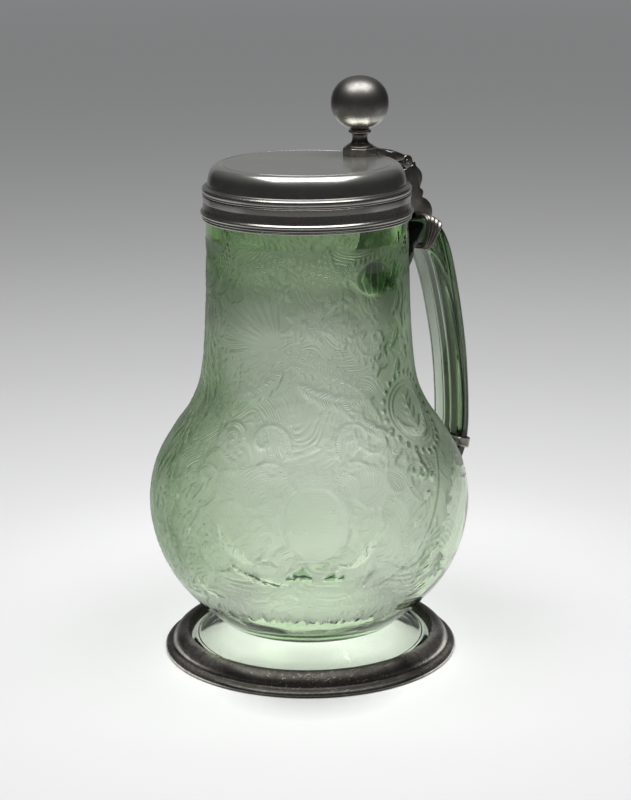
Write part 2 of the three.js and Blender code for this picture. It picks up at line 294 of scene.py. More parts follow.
def plate(name, outline, half_width, bevel):
    """A bevelled pewter plate with an (x, z) outline in the handle's plane."""
    p = np.asarray(outline, float)
    x, z = p.T
    if np.sum(x * np.roll(z, -1) - z * np.roll(x, -1)) < 0:
        p = p[::-1]
    inward = left_normals(p, closed=True)
    rows = [(p + inward * bevel * (1 - math.sin(u)), -half_width + bevel * (1 - math.cos(u)))
            for u in np.linspace(0, math.pi / 2, 5)]
    rows = rows + [(q, -y) for q, y in reversed(rows)]
    grid = np.stack([np.insert(q + (AXIS_X, 0), 1, y, axis=1) for q, y in rows])
    return skin(name, grid, DARK_PEWTER, flat=True)


def on_hinge(name, profile, material, middle=0.0, segments=40):
    """A profile turned about the hinge's axis."""
    bar = turned(name, profile, material, segments, centre=(0, 0, 0))
    bar.data.transform(Matrix.Rotation(math.radians(90), 4, "X"))
    bar.data.transform(Matrix.Translation(Vector((HINGE_X + AXIS_X, middle, HINGE_Z)) * MM))
    return bar


def barrel(name, radius, y_from, y_to, bevel, material):
    """A round bar with rounded ends on the hinge's axis."""
    half = (y_to - y_from) / 2
    profile = rounded([[0, -half], [radius, -half], [radius, half], [0, half]], cut=bevel, steps=3)
    return on_hinge(name, profile, material, (y_from + y_to) / 2)


def worn(obj, more=0.0):
    """How convex the mesh is at each vertex, from -1 to 1, for rubbed ridges and dirty hollows."""
    mesh = obj.data
    co, normal = places(obj), read(mesh.vertex_normals, "vector", 3).astype(float)
    a, b = read(mesh.edges, "vertices", 2, np.int32).T
    d = co[b] - co[a]
    size = np.maximum(np.linalg.norm(d, axis=1), 1e-6)
    bend = np.einsum("ij,ij->i", normal[b] - normal[a], d) / size
    total, seen = np.zeros((2, len(co)))
    for ends in (a, b):
        np.add.at(total, ends, bend)
        np.add.at(seen, ends, 1)
    contrast = 1.6
    return np.clip(total / np.maximum(seen, 1) * contrast + more, -1, 1)


# Materials

class Shader:
    """A short way to write node trees."""

    def __init__(self, owner, output="OutputMaterial"):
        self.owner = owner
        owner.use_nodes = True
        self.tree = owner.node_tree
        self.tree.nodes.clear()
        self.output = self.node(output)

    def node(self, kind, inputs=None, **settings):
        made = self.tree.nodes.new("ShaderNode" + kind)
        for key, value in settings.items():
            setattr(made, key, value)
        for key, value in (inputs or {}).items():
            self.put(made.inputs[key], value)
        return made

    def put(self, socket, value):
        if isinstance(value, bpy.types.NodeSocket):
            self.tree.links.new(value, socket)
        elif isinstance(value, tuple) and len(value) == 3 and socket.type == "RGBA":
            socket.default_value = (*value, 1)
        else:
            socket.default_value = value

    def surface(self, kind, inputs):
        self.put(self.output.inputs["Surface"], self.node(kind, inputs).outputs[0])
        return self.owner

    def math(self, operation, a, b=0.0, clamp=False):
        return self.node("Math", {0: a, 1: b}, operation=operation, use_clamp=clamp).outputs[0]

    def plus(self, a, b, clamp=False):
        return self.math("ADD", a, b, clamp)

    def times(self, a, b):
        return self.math("MULTIPLY", a, b)

    def mix(self, factor, a, b):
        return self.node("Mix", {"Factor": factor, 6: a, 7: b}, data_type="RGBA").outputs[2]

    def span(self, value, lo, hi, to_lo=0.0, to_hi=1.0):
        return self.node("MapRange", {"Value": value, "From Min": lo, "From Max": hi,
                                      "To Min": to_lo, "To Max": to_hi}).outputs["Result"]

    def value(self, name):
        return self.node("Attribute", attribute_name=name).outputs["Fac"]

    def place(self):
        return self.node("TexCoord").outputs["Object"]

    def vector(self, operation, a, b=(0.0, 0.0, 0.0)):
        return self.node("VectorMath", {0: a, 1: b}, operation=operation)

    def distance(self, centre):
        """Distance from an upright line through a point."""
        away = self.vector("SUBTRACT", self.place(), centre).outputs[0]
        level = self.vector("MULTIPLY", away, (1.0, 1.0, 0.0)).outputs[0]
        return self.vector("LENGTH", level).outputs["Value"]

    def noise(self, scale, detail=3.0, rough=0.5, vector=None):
        return self.node("TexNoise", {"Vector": vector or self.place(), "Scale": scale,
                                      "Detail": detail, "Roughness": rough}).outputs["Fac"]

    def bump(self, height, distance, strength=1.0, normal=None):
        inputs = {"Height": height, "Distance": distance, "Strength": strength}
        if normal:
            inputs["Normal"] = normal
        return self.node("Bump", inputs).outputs["Normal"]


def new_shader(name):
    return Shader(bpy.data.materials.new(name))


def glass(name, absorb, density, rough, wave, tint_and_shade_colour, engraved=False):
    """Green soda glass. wave is the height of its hand-blown unevenness in metres.

    A vertex attribute mixes the last colour in at the surface: painted shade on the engraving and
    the handle, and a slightly darker tint on the foot's outer part. On engraved glass, phase
    and along are the strokes' coordinates, and matte, hatch and relief say how much there is.
    """
    s = new_shader(name)
    specks = s.span(s.noise(900, 1), 0.7, 0.74)
    smear = s.span(s.noise(70, 4, 0.6), 0.45, 0.75, 0.0, 0.05)
    roughness = s.plus(smear, rough)
    normal = s.bump(s.noise(45, 1.5, 0.4), wave)
    clear = 1.0
    if engraved:
        matte = s.value("matte")
        grain = s.noise(1500, 2, 0.6)
        strokes = s.node("CombineXYZ", {"X": s.value("phase"), "Y": s.value("along")}).outputs[0]
        stray = s.times(s.noise(0.45, 1.0, 0.5, strokes), 2.4)
        turn = s.times(s.plus(s.value("phase"), stray), 2 * math.pi)
        weight = s.span(s.noise(0.8, 1.0, 0.5, strokes), 0.36, 0.6, 0.15, 1.0)
        hatch = s.times(s.times(s.math("SINE", turn), weight), s.value("hatch"))
        ground = s.plus(0.01, s.times(s.value("relief"), 0.035))
        cloudy = s.plus(s.times(s.math("MAXIMUM", hatch, 0.0), 0.09), ground)
        clear = s.math("SUBTRACT", 1.0, s.times(matte, cloudy))
        frosted = s.times(matte, s.span(s.noise(160, 3, 0.6), 0.3, 0.7, 0.27, 0.37))
        roughness = s.plus(roughness, frosted)
        normal = s.bump(hatch, 0.00009, 1.0, normal)
        normal = s.bump(s.times(grain, matte), 0.00005, 0.5, normal)
    volume = s.node("VolumeAbsorption", {"Color": absorb, "Density": density})
    s.put(s.output.inputs["Volume"], volume.outputs[0])
    # The base colour carries the painted shade, and on the foot a slightly darker tint.
    return s.surface("BsdfPrincipled", {
        "Base Color": s.mix(s.value("tint_and_painted_shade"), (1.0, 1.0, 1.0), tint_and_shade_colour), "IOR": 1.5,
        "Roughness": s.plus(roughness, s.times(specks, 0.1), clamp=True),
        "Transmission Weight": clear, "Normal": normal})


def pewter(name, base, dirt, rubbed_and_sheen, rough, lathe, scratch=0.35, patchy=0.0):
    """Cast pewter: dirty hollows, rubbed ridges, soft blotches, scratches and turning marks.

    One vertex attribute runs from dark to light: dirt in hollows and rubbed ridges, and on the
    foot ring and the thumb ball also painted highlights and painted shade, drawn in the dirt and
    rubbed colours. The attribute dull runs from dark to evenly grey.
    """
    s = new_shader(name)
    wear_and_painted_light, dull = s.value("wear_and_painted_light"), s.value("dull")
    blotch, fine = s.noise(45, 4, 0.55), s.noise(420, 4, 0.6)
    ridge = s.span(s.plus(wear_and_painted_light, s.span(blotch, 0.3, 0.7, -0.12, 0.12)), 0.05, 0.4)
    hollow = s.span(s.plus(wear_and_painted_light, s.span(fine, 0.3, 0.7, -0.05, 0.05)), -0.02, -0.3)
    tone = s.mix(s.span(blotch, 0.35, 0.68), base, tuple(v * 0.86 for v in base))
    tone = s.mix(s.span(s.noise(1300, 2, 0.7), 0.62, 0.8, 0.0, 0.25), tone, dirt)
    tone = s.mix(s.span(s.noise(70, 5, 0.62), 0.5, 0.66, 0.0, patchy), tone, rubbed_and_sheen)
    tone = s.mix(s.times(hollow, 0.85), tone, dirt)
    tone = s.mix(s.times(ridge, s.span(fine, 0.25, 0.6, 0.35, 1.0)), tone, rubbed_and_sheen)
    scored = 0.0
    for size, turn in (((60, 2600, 900), (0.3, 0.2, 0.5)), ((70, 2200, 1100), (-0.4, 0.5, 2.1)),
                       ((1800, 60, 900), (0.5, -0.3, 0.2))):
        long = s.node("Mapping", {"Vector": s.place(), "Rotation": turn, "Scale": size})
        line = s.span(s.noise(1, 2, 0.5, long.outputs["Vector"]), 0.68, 0.74)
        scored = s.math("MAXIMUM", line, scored)
    tone = s.mix(s.times(scored, scratch), tone, rubbed_and_sheen)
    tone = s.mix(dull, tone, (0.54, 0.54, 0.50))
    roughness = s.span(s.noise(110, 3, 0.5), 0.3, 0.7, rough - 0.02, rough + 0.03)
    roughness = s.plus(roughness, s.times(hollow, 0.2))
    roughness = s.math("SUBTRACT", roughness, s.times(dull, 0.06), clamp=True)
    height = s.node("SeparateXYZ", {0: s.place()}).outputs["Z"]
    along = s.plus(s.distance((AXIS_X * MM, 0.0, 0.0)), s.times(height, 0.8))
    rings = s.node("TexNoise", {"W": along, "Scale": 2000.0, "Detail": 2.0},
                   noise_dimensions="1D").outputs["Fac"]
    normal = s.bump(rings, 0.00001, lathe, s.bump(s.noise(60, 1.5, 0.4), 0.00014, 0.15))
    return s.surface("BsdfPrincipled", {
        "Base Color": tone, "Metallic": s.span(dull, 0.0, 1.0, 0.97, 0.80),
        "Roughness": roughness, "Normal": normal})


def plaster(name):
    s = new_shader(name)
    grain = s.noise(700, 5, 0.6)
    tone = s.mix(s.span(grain, 0.3, 0.7), (0.5, 0.46, 0.38), (0.36, 0.33, 0.27))
    return s.surface("BsdfPrincipled", {"Base Color": tone, "Roughness": 0.9,
                                        "Normal": s.bump(grain, 0.0002)})


def card(name, grey):
    """A plain card, a little uneven in tone."""
    s = new_shader(name)
    tone = s.mix(s.span(s.noise(2.5, 3), 0.3, 0.7), (grey,) * 3, (grey * 0.9,) * 3)
    return s.surface("BsdfDiffuse", {"Color": tone})


# The last colour of each glass is its painted shade colour; on the foot it is a slightly darker
# tint.
ENGRAVED_GLASS = glass("engraved_glass", (0.26, 0.62, 0.03), 123.0, 0.015, 0.0008,
                       (0.16, 0.30, 0.15), engraved=True)
PLAIN_GLASS = glass("plain_glass", (0.31, 0.45, 0.26), 128.0, 0.01, 0.0004, (0.955, 0.955, 0.94))
HANDLE_GLASS = glass("handle_glass", (0.43, 0.605, 0.345), 102.0, 0.01, 0.0003,
                     (0.007, 0.0095, 0.0045))
PEWTER = pewter("pewter", (0.39, 0.38, 0.353), (0.14, 0.135, 0.125), (0.60, 0.58, 0.54),
                0.26, lathe=0.2, scratch=0.12)
DARK_PEWTER = pewter("dark_pewter", (0.21, 0.197, 0.178), (0.07, 0.063, 0.055),
                     (0.50, 0.465, 0.415), 0.30, lathe=0.1, patchy=0.6)
# The ring's very light rubbed colour also paints its side highlights.
RING_PEWTER = pewter("ring_pewter", (0.16, 0.15, 0.135), (0.03, 0.027, 0.024),
                     (0.82, 0.765, 0.70), 0.27, lathe=0.1, patchy=0.12)
PUTTY = plaster("putty")


def finish(obj, body, nodes):
    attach(obj, body)
    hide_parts(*nodes)


# Engraving. Knots are radius and height.

VESSEL_FLOOR_Z = 14.2
RIM_Z = 194.2
VESSEL_KNOTS = [
    (38.4, 14.8), (48.6, 24), (57.2, 34), (62.7, 44), (66.2, 56), (67.1, 68), (64.2, 83),
    (57.2, 96), (50.4, 106), (45.8, 116), (43.6, 129), (42.5, 146), (42, 165), (41.4, 184),
    (41.1, RIM_Z - 1),
]
COLUMNS = 640
ROWS = 330

vessel_curve = even(catmull(VESSEL_KNOTS, np.linspace(0, 1, 3000)), ROWS)
vessel_out = -left_normals(vessel_curve)
row_height = lengths(vessel_curve)
azimuths = np.arange(COLUMNS)[None, :] * 2 * math.pi / COLUMNS


def moved(at, dx, dy, angle=0):
    """The place some millimetres to the right of and above another, in axes turned by angle."""
    c, s = math.cos(math.radians(angle)), math.sin(math.radians(angle))
    up = np.interp(at[1], vessel_curve[:, 1], row_height) + dx * s + dy * c
    z = float(np.interp(up, row_height, vessel_curve[:, 1]))
    radius = np.interp(z, vessel_curve[:, 1], vessel_curve[:, 0])
    return (at[0] + math.degrees((dx * c - dy * s) / radius), z)


class Engraving:
    """Depth, mattness and strokes of the cut decoration on the vessel's outer grid.

    A place is (degrees round from the front, height). phase counts strokes across their
    direction and along runs with them.
    """

    def __init__(self):
        self.depth, self.matte, self.phase, self.along, self.hatch = np.zeros((5, ROWS, COLUMNS))

    def window(self, at, angle, reach):
        """Rows, columns and turned millimetre coordinates near a place."""
        centre = math.radians(at[0]) + FRONT
        s0 = np.interp(at[1], vessel_curve[:, 1], row_height)
        lo, hi = np.searchsorted(row_height, (s0 - reach, s0 + reach))
        rows = np.arange(lo, min(hi + 1, ROWS))
        radius = vessel_curve[rows, 0]
        wide = reach / radius.min()
        first = int((centre - wide) / (2 * math.pi) * COLUMNS)
        last = int((centre + wide) / (2 * math.pi) * COLUMNS) + 1
        raw = np.arange(first, min(last, first + COLUMNS - 1) + 1)
        x = (raw[None, :] * 2 * math.pi / COLUMNS - centre) * radius[:, None]
        y = np.repeat((row_height[rows] - s0)[:, None], len(raw), axis=1)
        c, s = math.cos(math.radians(angle)), math.sin(math.radians(angle))
        return np.ix_(rows, raw % COLUMNS), x * c + y * s, -x * s + y * c

    def paint(self, cells, mask, depth, matte, hatch, phase=None, along=0.0):
        for field, value in ((self.depth, depth), (self.matte, matte), (self.hatch, hatch)):
            field[cells] = field[cells] * (1 - mask) + value * mask
        if phase is not None:
            for field, value in ((self.phase, phase), (self.along, along)):
                field[cells] = np.where(mask > 0.4, value, field[cells])

    def cut(self, at, angle, points, width, depth, matte=None, taper=0.5, polished=False):
        """A wheel-cut line through local points, tapered to both ends."""
        p = np.asarray(points, float)
        cells, x, y = self.window(at, angle, np.abs(p).max() + width + 1)
        best, where = np.full(x.shape, 1e9), np.zeros(x.shape)
        s = lengths(p)
        for i, d in enumerate(np.diff(p, axis=0)):
            dx, dy = x - p[i, 0], y - p[i, 1]
            t = np.clip((dx * d[0] + dy * d[1]) / max(d @ d, 1e-9), 0, 1)
            gap = np.hypot(dx - t * d[0], dy - t * d[1])
            closer = gap < best
            best = np.where(closer, gap, best)
            where = np.where(closer, (s[i] + t * (s[i + 1] - s[i])) / s[-1], where)
        half = width * np.maximum(np.sin(math.pi * np.clip(where, 0.02, 0.98)), 0) ** taper
        profile = np.clip(1 - (best / np.maximum(half, 1e-6)) ** 2, 0, 1)
        before = self.depth[cells]
        self.depth[cells] = np.maximum(before, before * 0.5 + depth * profile)
        inside = smoothstep(profile, 0, 0.3)
        if polished:
            self.depth[cells] *= 1 - inside
        if matte is not None:
            self.matte[cells] = self.matte[cells] * (1 - inside) + matte * inside

    def leaf(self, at, angle, length, width, bend=0.0, depth=0.4, matte=1.0, strokes=1.0, lobes=0):
        """A pointed leaf from the place along the angle, with a midrib and optional lobes."""
        cells, x, y = self.window(at, angle, length * (1 + abs(bend)) + width)
        u = x / length
        y = y - bend * length * u * (1 - u) * 2
        half = width / 2 * np.clip(np.sin(math.pi * np.clip(u, 0, 1) ** 0.75), 0, 1) ** 0.8
        if lobes:
            swing = (u * lobes - np.abs(y) / length * lobes * 0.6) % 1
            half = half * (0.62 + 0.38 * np.sin(math.pi * swing) ** 0.6)
        edge = np.clip(1 - np.abs(y) / np.maximum(half, 1e-6), 0, 1) * (u > 0) * (u < 1)
        rib = bell(y, 0, 0.3 + 0.04 * width) * (u < 0.85)
        relief = depth * (0.3 + 0.7 * np.sqrt(edge)) * (1 - 0.5 * rib)
        self.paint(cells, smoothstep(edge, 0, 0.3), relief, matte, strokes,
                   (x - np.abs(y) * 0.9) / 1.15, np.abs(y) * 0.2)

    def volute(self, at, radius, depth, pitch):
        """A rolled scroll: spiral relief with strokes that follow it."""
        cells, x, y = self.window(at, 0, radius + 2)
        rho, psi = np.hypot(x, y), np.arctan2(y, x)
        turns = rho / pitch - psi / (2 * math.pi)
        open_end = np.degrees(psi % (2 * math.pi)) < 320
        relief = depth * np.sin(math.pi * np.clip(turns % 1 * 1.12, 0, 1)) ** 0.7
        self.paint(cells, smoothstep(radius - rho, -0.2, 0.8) * open_end, relief, 1.0, 0.8,
                   turns * round(pitch / 1.1), psi * rho * 0.15)

    def curl(self, at, radius, turn, hand=1, depth=0.2):
        """A rolled lobe with close strokes round its eye and a thin cut round most of its edge."""
        cells, x, y = self.window(at, 0, radius + 2)
        rho, a = np.hypot(x, y), np.arctan2(y, x)
        edge = radius * (1 + 0.05 * np.sin(3 * a + turn))
        bowl = depth * (0.25 + 0.75 * smoothstep(rho / edge, 0.35, 0.95))
        start = math.radians(turn)
        shell = np.hypot(x + radius * math.cos(start), y + radius * math.sin(start))
        self.paint(cells, smoothstep(edge - rho, -0.1, 0.4), bowl, 1.0, 0.55, shell / 1.05, a)
        k = np.arange(20)
        reach, way = radius * (1 - 0.3 * k / 19), start + hand * k * 0.24
        loop = np.stack([reach * np.cos(way), reach * np.sin(way)], axis=1)
        self.cut(at, 0, loop, 0.4, depth + 0.08, taper=0.2)

    def plume(self, at, angle, length, spread, depth=0.3, lobes=9, seed=0):
        """A fan of fine strokes with a ragged end."""
        cells, x, y = self.window(at, angle, length + 1)
        rho, psi = np.hypot(x, y), np.degrees(np.arctan2(y, x))
        tips = np.random.default_rng(seed).uniform(0.62, 1.0, 64)
        end = length * np.interp((psi + 180) / 360 * 64 * 4 % 64, np.arange(64), tips)
        inside = smoothstep(end - rho, 0, length * 0.1) * smoothstep(spread - np.abs(psi), 0, 8)
        lobe = np.abs(np.sin(np.radians(psi) * lobes * 180 / spread / 2)) ** 0.7
        self.paint(cells, inside, depth * lobe * smoothstep(rho, 0, length * 0.3), 1.0, 1.0,
                   np.radians(psi) * (9 + 0.35 * length), rho * 0.12)

    def disc(self, at, radius, depth, matte=1.0, squash=1.0, angle=0.0):
        cells, x, y = self.window(at, angle, radius * max(1, squash) + 1)
        edge = 1 - (x / (radius * squash)) ** 2 - (y / radius) ** 2
        relief = depth * np.sqrt(np.clip(edge, 0, 1))
        self.paint(cells, smoothstep(edge, 0, 0.25), relief, matte, 0.0)

    def rosette(self, at, radius, petals=6, turn=0.0):
        for k in range(petals):
            self.leaf(at, turn + 360 * k / petals, radius, radius * 0.62, depth=0.42, strokes=0.5)
        self.disc(at, radius * 0.26, 0.5, matte=0.8)

    def grapes(self, at, angle, rows, berry):
        for i in range(rows):
            for j in range(rows - i):
                across = (j - (rows - i - 1) / 2) * berry * 1.95
                self.disc(moved(at, i * berry * 1.75, across, angle), berry, 0.5, matte=0.5)

    def frond(self, at, angle, spine, leaf_size, side=0, lobes=0, closeness=0.55, depth=0.4):
        """Leaves along a curved stem; side -1 or 1 keeps one side only."""
        steps = 60
        p = even(np.asarray(spine, float), steps)
        count = max(2, int(lengths(p)[-1] / (leaf_size * closeness)))
        for i in range(count):
            f = (i + 0.3) / count
            along = f * (steps - 1)
            x, y = (np.interp(along, np.arange(steps), column) for column in p.T)
            k = min(steps - 2, int(along))
            dx, dy = p[k + 1] - p[k]
            heading = math.degrees(math.atan2(dy, dx)) + angle
            size = leaf_size * (1.05 - 0.5 * f)
            for hand in ((-1, 1) if side == 0 else (side,)):
                self.leaf(moved(at, x, y, angle), heading + hand * 46, size, size * 0.46,
                          bend=-0.22 * hand, depth=depth, lobes=lobes)
        self.cut(at, angle, p[::4], 0.55, depth * 0.8, matte=1.0, taper=0.25)

    def scroll(self, at, angle, size, hand=1):
        """An acanthus scroll: a stem that rolls up, leafed on its outer side, with an eye."""
        depth = 0.28
        t = np.linspace(0, 1, 40)
        turn = t * 1.7 * math.pi * hand
        reach = size * (1 - t) ** 0.8 * 0.55 + size * 0.08
        spine = np.stack([size * 0.55 - reach * np.cos(turn), reach * np.sin(turn)], axis=1)
        self.frond(at, angle, spine, size * 0.46, side=-hand, lobes=3, depth=depth, closeness=0.42)
        self.frond(at, angle, spine[:22], size * 0.3, side=hand, depth=depth)
        self.cut(at, angle, spine, 0.8, depth, matte=1.0, taper=0.2)
        self.disc(moved(at, size * 0.55, 0, angle), size * 0.07, depth, matte=0.8)

    def flower(self, at, tilt, height, size, seed):
        """A leafy stem with a flower on top."""
        stem = [(0, 0), (height * 0.5, -tilt * 0.3), (height, -tilt)]
        self.frond(at, 90, stem, 8.5, lobes=2, closeness=0.6)
        top = moved(at, tilt, height)
        self.plume(top, 90, size * 1.9, 170, depth=0.22, lobes=14, seed=seed)
        self.rosette(top, size, petals=8, turn=10)

    def soften(self):
        """Rounds the cuts' edges, and keeps strokes off the seams between their directions."""
        for axis in (0, 1):
            beside = np.roll(self.depth, 1, axis) + np.roll(self.depth, -1, axis)
            self.depth = (self.depth * 0.64 + beside * 0.18) * 1.12
        for axis in (0, 1):
            for side in (-1, 1):
                self.hatch[np.abs(np.roll(self.phase, side, axis) - self.phase) > 0.9] = 0


CLEAR_SIDE_Z = (30, 39, 49, 61, 70, 80, 88)
CLEAR_SIDE_START = (38, 40, 42, 49.5, 54.5, 61, 71)


def in_clear_side(alpha, z):
    """Whether a place lies on the plain clear side next to the handle."""
    return np.interp(z, CLEAR_SIDE_Z, CLEAR_SIDE_START) - 1 < alpha < 99 and z < 90


def scattered(r, count, low, height, bunched=1.1):
    """Random places off the plain clear side, closer together towards the foot."""
    for _ in range(count):
        at = (r.uniform(-180, 180), low + height * r.random() ** bunched)
        if not in_clear_side(*at):
            yield at


def ground(e):
    """The matt ground, its ragged lower edge and the plain clear side next to the handle."""
    az, z = azimuths, vessel_curve[:, 1:]
    alpha = from_front(az)
    drift = waves(7, 3, 2, 9)(az, z)
    coarse, finer = waves(10, 5, 2, 8)(az, z), waves(14, 6, 5, 17)(az, z * 1.6)
    ragged = 2.6 * np.abs(np.sin(az * 31 + 2 * drift)) + 1.2 * np.abs(np.sin(az * 53)) + 1.5 * drift
    band = between(z, (26 + ragged, 27 + ragged), (178.2, 178.8))
    nibbled = 4 * drift + 2.2 * np.sin(z * 1.1 + 3 * drift) + 1.3 * np.sin(z * 2.7 + az * 40)
    start = np.interp(z, CLEAR_SIDE_Z, CLEAR_SIDE_START)
    clear = smoothstep(alpha + nibbled * 0.7, start, start + 1) * (1 - smoothstep(alpha, 98, 99))
    clear = clear * (1 - smoothstep(z + 1.5 * nibbled, 88, 89))
    e.matte[:] = band * (1 - clear)
    e.phase[:] = row_height[:, None] * 0.42 + 5.5 * coarse + 1.6 * finer
    e.along[:] = az * 9
    e.hatch[:] = e.matte * (0.45 + 0.35 * (1 - smoothstep(np.abs(alpha), 25, 45)) * (z > 98)
                            + 0.45 * smoothstep(-alpha, 30, 50))
    e.depth[:] = 0.05 * e.matte * (1 + drift)


def lean(alpha, z):
    """The direction in which the small background leaves grow."""
    return 90 + 45 * math.sin(math.radians(alpha * 2.6) + z * 0.045) + alpha * 0.1


def background_leaves(e):
    r = np.random.default_rng(61)
    for at in scattered(r, 1100, 32, 138):
        size = r.uniform(3.5, 7.5)
        e.leaf(at, lean(*at) + r.uniform(-35, 35), size, size * r.uniform(0.26, 0.4),
               bend=r.uniform(-0.35, 0.35), depth=r.uniform(0.12, 0.26),
               matte=r.choice([0.75, 1.0]), strokes=r.uniform(0.2, 0.9))
    for at in scattered(r, 900, 30, 146):
        size = r.uniform(1.6, 4.2)
        e.cut(at, lean(*at) + r.uniform(-20, 20),
              [(-size, 0), (0, r.uniform(-0.5, 0.5)), (size, 0)],
              r.uniform(0.45, 0.7), r.uniform(0.10, 0.2), matte=1.0)


def each(draw, *rows, **same):
    """Draws once for each row of values, with the values that all have in common."""
    for row in rows:
        draw(*row, **same)


def arc(width, sag):
    """Points of a hanging curve, from left to right."""
    u = np.linspace(-1, 1, 21)
    return np.stack([u * width / 2, sag * (u * u - 1)], axis=1)


def closed_loop(reach_x, reach_y, points):
    """Points of an oval; the reaches may change with the angle."""
    a = np.linspace(0, 2 * math.pi, points)
    return np.stack([reach_x * np.cos(a), reach_y * np.sin(a)], axis=1)


def neck_garland(e):
    """Vine swags with grapes, hung round the neck under the plain strip."""
    swag = arc(40, 6)
    for middle in range(-41, 319, 60):
        for half in (swag[10:], swag[10::-1]):
            e.frond((middle, 175), 0, half, 7.0, lobes=2, closeness=0.42, depth=0.34)
        e.rosette((middle, 168.5), 4.2)
        e.grapes((middle + 54, 174.5), 196, rows=5, berry=1.15)
        for turn in (250, 290):
            e.leaf((middle + 30, 177), turn, 7, 3.4, depth=0.34)


def polished_tulip(e, at, size):
    """A broad clear cup with curved ribs and two leaves beside it, cut through the matt ground."""
    for turn, length in ((66, 0.62), (40, 0.5)):
        e.leaf(moved(at, size * 0.36, -size * 0.58), turn, size * length, size * 0.2, bend=-0.3,
               depth=0.6, matte=0.0, strokes=0.0)
    cup = moved(at, 0, -size * 0.33)
    e.disc(cup, size * 0.36, 0.8, matte=0.0, squash=1.4)
    for k in (-0.62, -0.2, 0.22, 0.64):
        rib = np.array([(k * 0.3, -0.32), (k * 0.5, 0), (k * 0.3, 0.32)]) * size
        e.cut(cup, 0, rib, 0.4, 0.1, matte=0.5, taper=0.3)


def neck_spray(e):
    """Palm fan to the left, blossom in the middle and leafy branches to the right."""
    each(e.plume, ((-16, 141), 158, 36, 42, 0.28, 7, 4), ((-16, 141), 112, 27, 26, 0.28, 4, 6),
         ((-14, 138), 212, 22, 28, 0.3, 5, 5))
    bough = [(0, 0), (8, 3), (16, 2), (24, -3), (31, -9)]
    e.frond((-8, 146), 0, bough, 11, lobes=3, closeness=0.5)
    each(e.frond, ((6, 146), 62, [(0, 0), (6, 2), (12, 1), (17, -3)], 8),
         ((20, 141), 0, [(0, 0), (7, -2), (13, -7), (17, -13)], 8.5), lobes=2)
    e.scroll((28, 143), -10, 14, -1)
    each(e.rosette, ((-2, 150), 8.0, 7, 0), ((20, 149), 5.6, 6, 15), ((42, 138), 5.2, 6, 15),
         ((-14, 162), 4.6, 5, 40))
    polished_tulip(e, (40, 172.5), 20)
    for k in range(6):
        e.leaf((58 + 2 * math.sin(k * 2.0), 164 - 6.5 * k), -90 + 34 * (-1) ** k, 9, 4.0, bend=0.2)
    each(e.scroll, ((-38, 160), 150, 11, 1), ((-62, 160), 60, 12, -1), ((-60, 138), 80, 12, 1))


def shoulder_waves(e):
    """Long flowing leaves and combed strokes where the neck widens."""
    for k in range(5):
        e.frond((-44 + 3 * k, 112 + 3.2 * k), 18, arc(34 - 3 * k, -5 - k), 6.0 + 0.5 * k, side=1,
                closeness=0.5, depth=0.3)
    for k in range(4):
        e.frond((4 + 6 * k, 128 - 3.0 * k), -24 - 5 * k, arc(34, -5), 7.0, side=(-1) ** k,
                closeness=0.5, depth=0.3)
    each(e.leaf, ((-13, 131), 205, 30, 8.5, 0.28, 0.5), ((-6, 126), -12, 34, 8.5, -0.25, 0.45),
         ((16, 119), -34, 30, 8.0, -0.25, 0.45), lobes=5)
    for k in range(7):
        e.cut((2, 112 - 1.3 * k), 0, arc(54 - 2 * k, -7 - 0.3 * k), 0.5, 0.2, taper=0.3)
    e.volute((-36, 104), 7, 0.4, 3.4)
    e.scroll((28, 112), -70, 17, -1)


def medallion(e, at, radius, crescent=True):
    """A bead-edged oval with a laurel spray over a polished crescent, or with a rosette."""
    squeeze = 0.96
    cells, x, y = e.window(at, 0, radius + 3)
    rho = np.hypot(x / squeeze, y)
    e.paint(cells, smoothstep(radius * 1.06 - rho, -0.3, 0.4), 0.1, 1.0, 0.35,
            (x + y * 0.5) / 1.4, x * 0.1)
    if crescent:
        moon = smoothstep(radius * 0.66 - rho, 0, 0.4) * smoothstep(np.hypot(x, y - 5.5), 11, 11.5)
        e.paint(cells, moon, 0.28, 0.0, 0.0)
    for ring, size in ((0.83, 0.55), (0.71, 0.4)):
        loop = closed_loop(radius * squeeze * ring, radius * ring, 37)
        e.cut(at, 0, loop, size, 0.28, taper=0.02)
    count = int(radius * 1.55)
    for k, (x, y) in enumerate(closed_loop(radius * 0.95, radius, count + 1)[:-1]):
        e.disc(moved(at, x, y), 0.95, 0.55, matte=0.35, squash=1.4, angle=360 * k / count)
    stem = np.array([(0, -7), (0.4, -2), (0, 3), (0.6, 9)]) * radius / 17
    e.frond(at, 0, stem, radius * 0.38, closeness=0.5, depth=0.45)
    if not crescent:
        e.rosette(at, radius * 0.4, petals=8)


CARTOUCHE_AT = (1.5, 75)       # degrees from the front, height
CARTOUCHE_HALF_WIDTH, CARTOUCHE_HALF_HEIGHT = 12, 14.5


def bulging(x, y):
    """How far out a point lies, 1 on the edge of the cartouche's squarish oval."""
    power = 2.3
    return (np.abs(x / CARTOUCHE_HALF_WIDTH) ** power
            + np.abs(y / CARTOUCHE_HALF_HEIGHT) ** power) ** (1 / power)


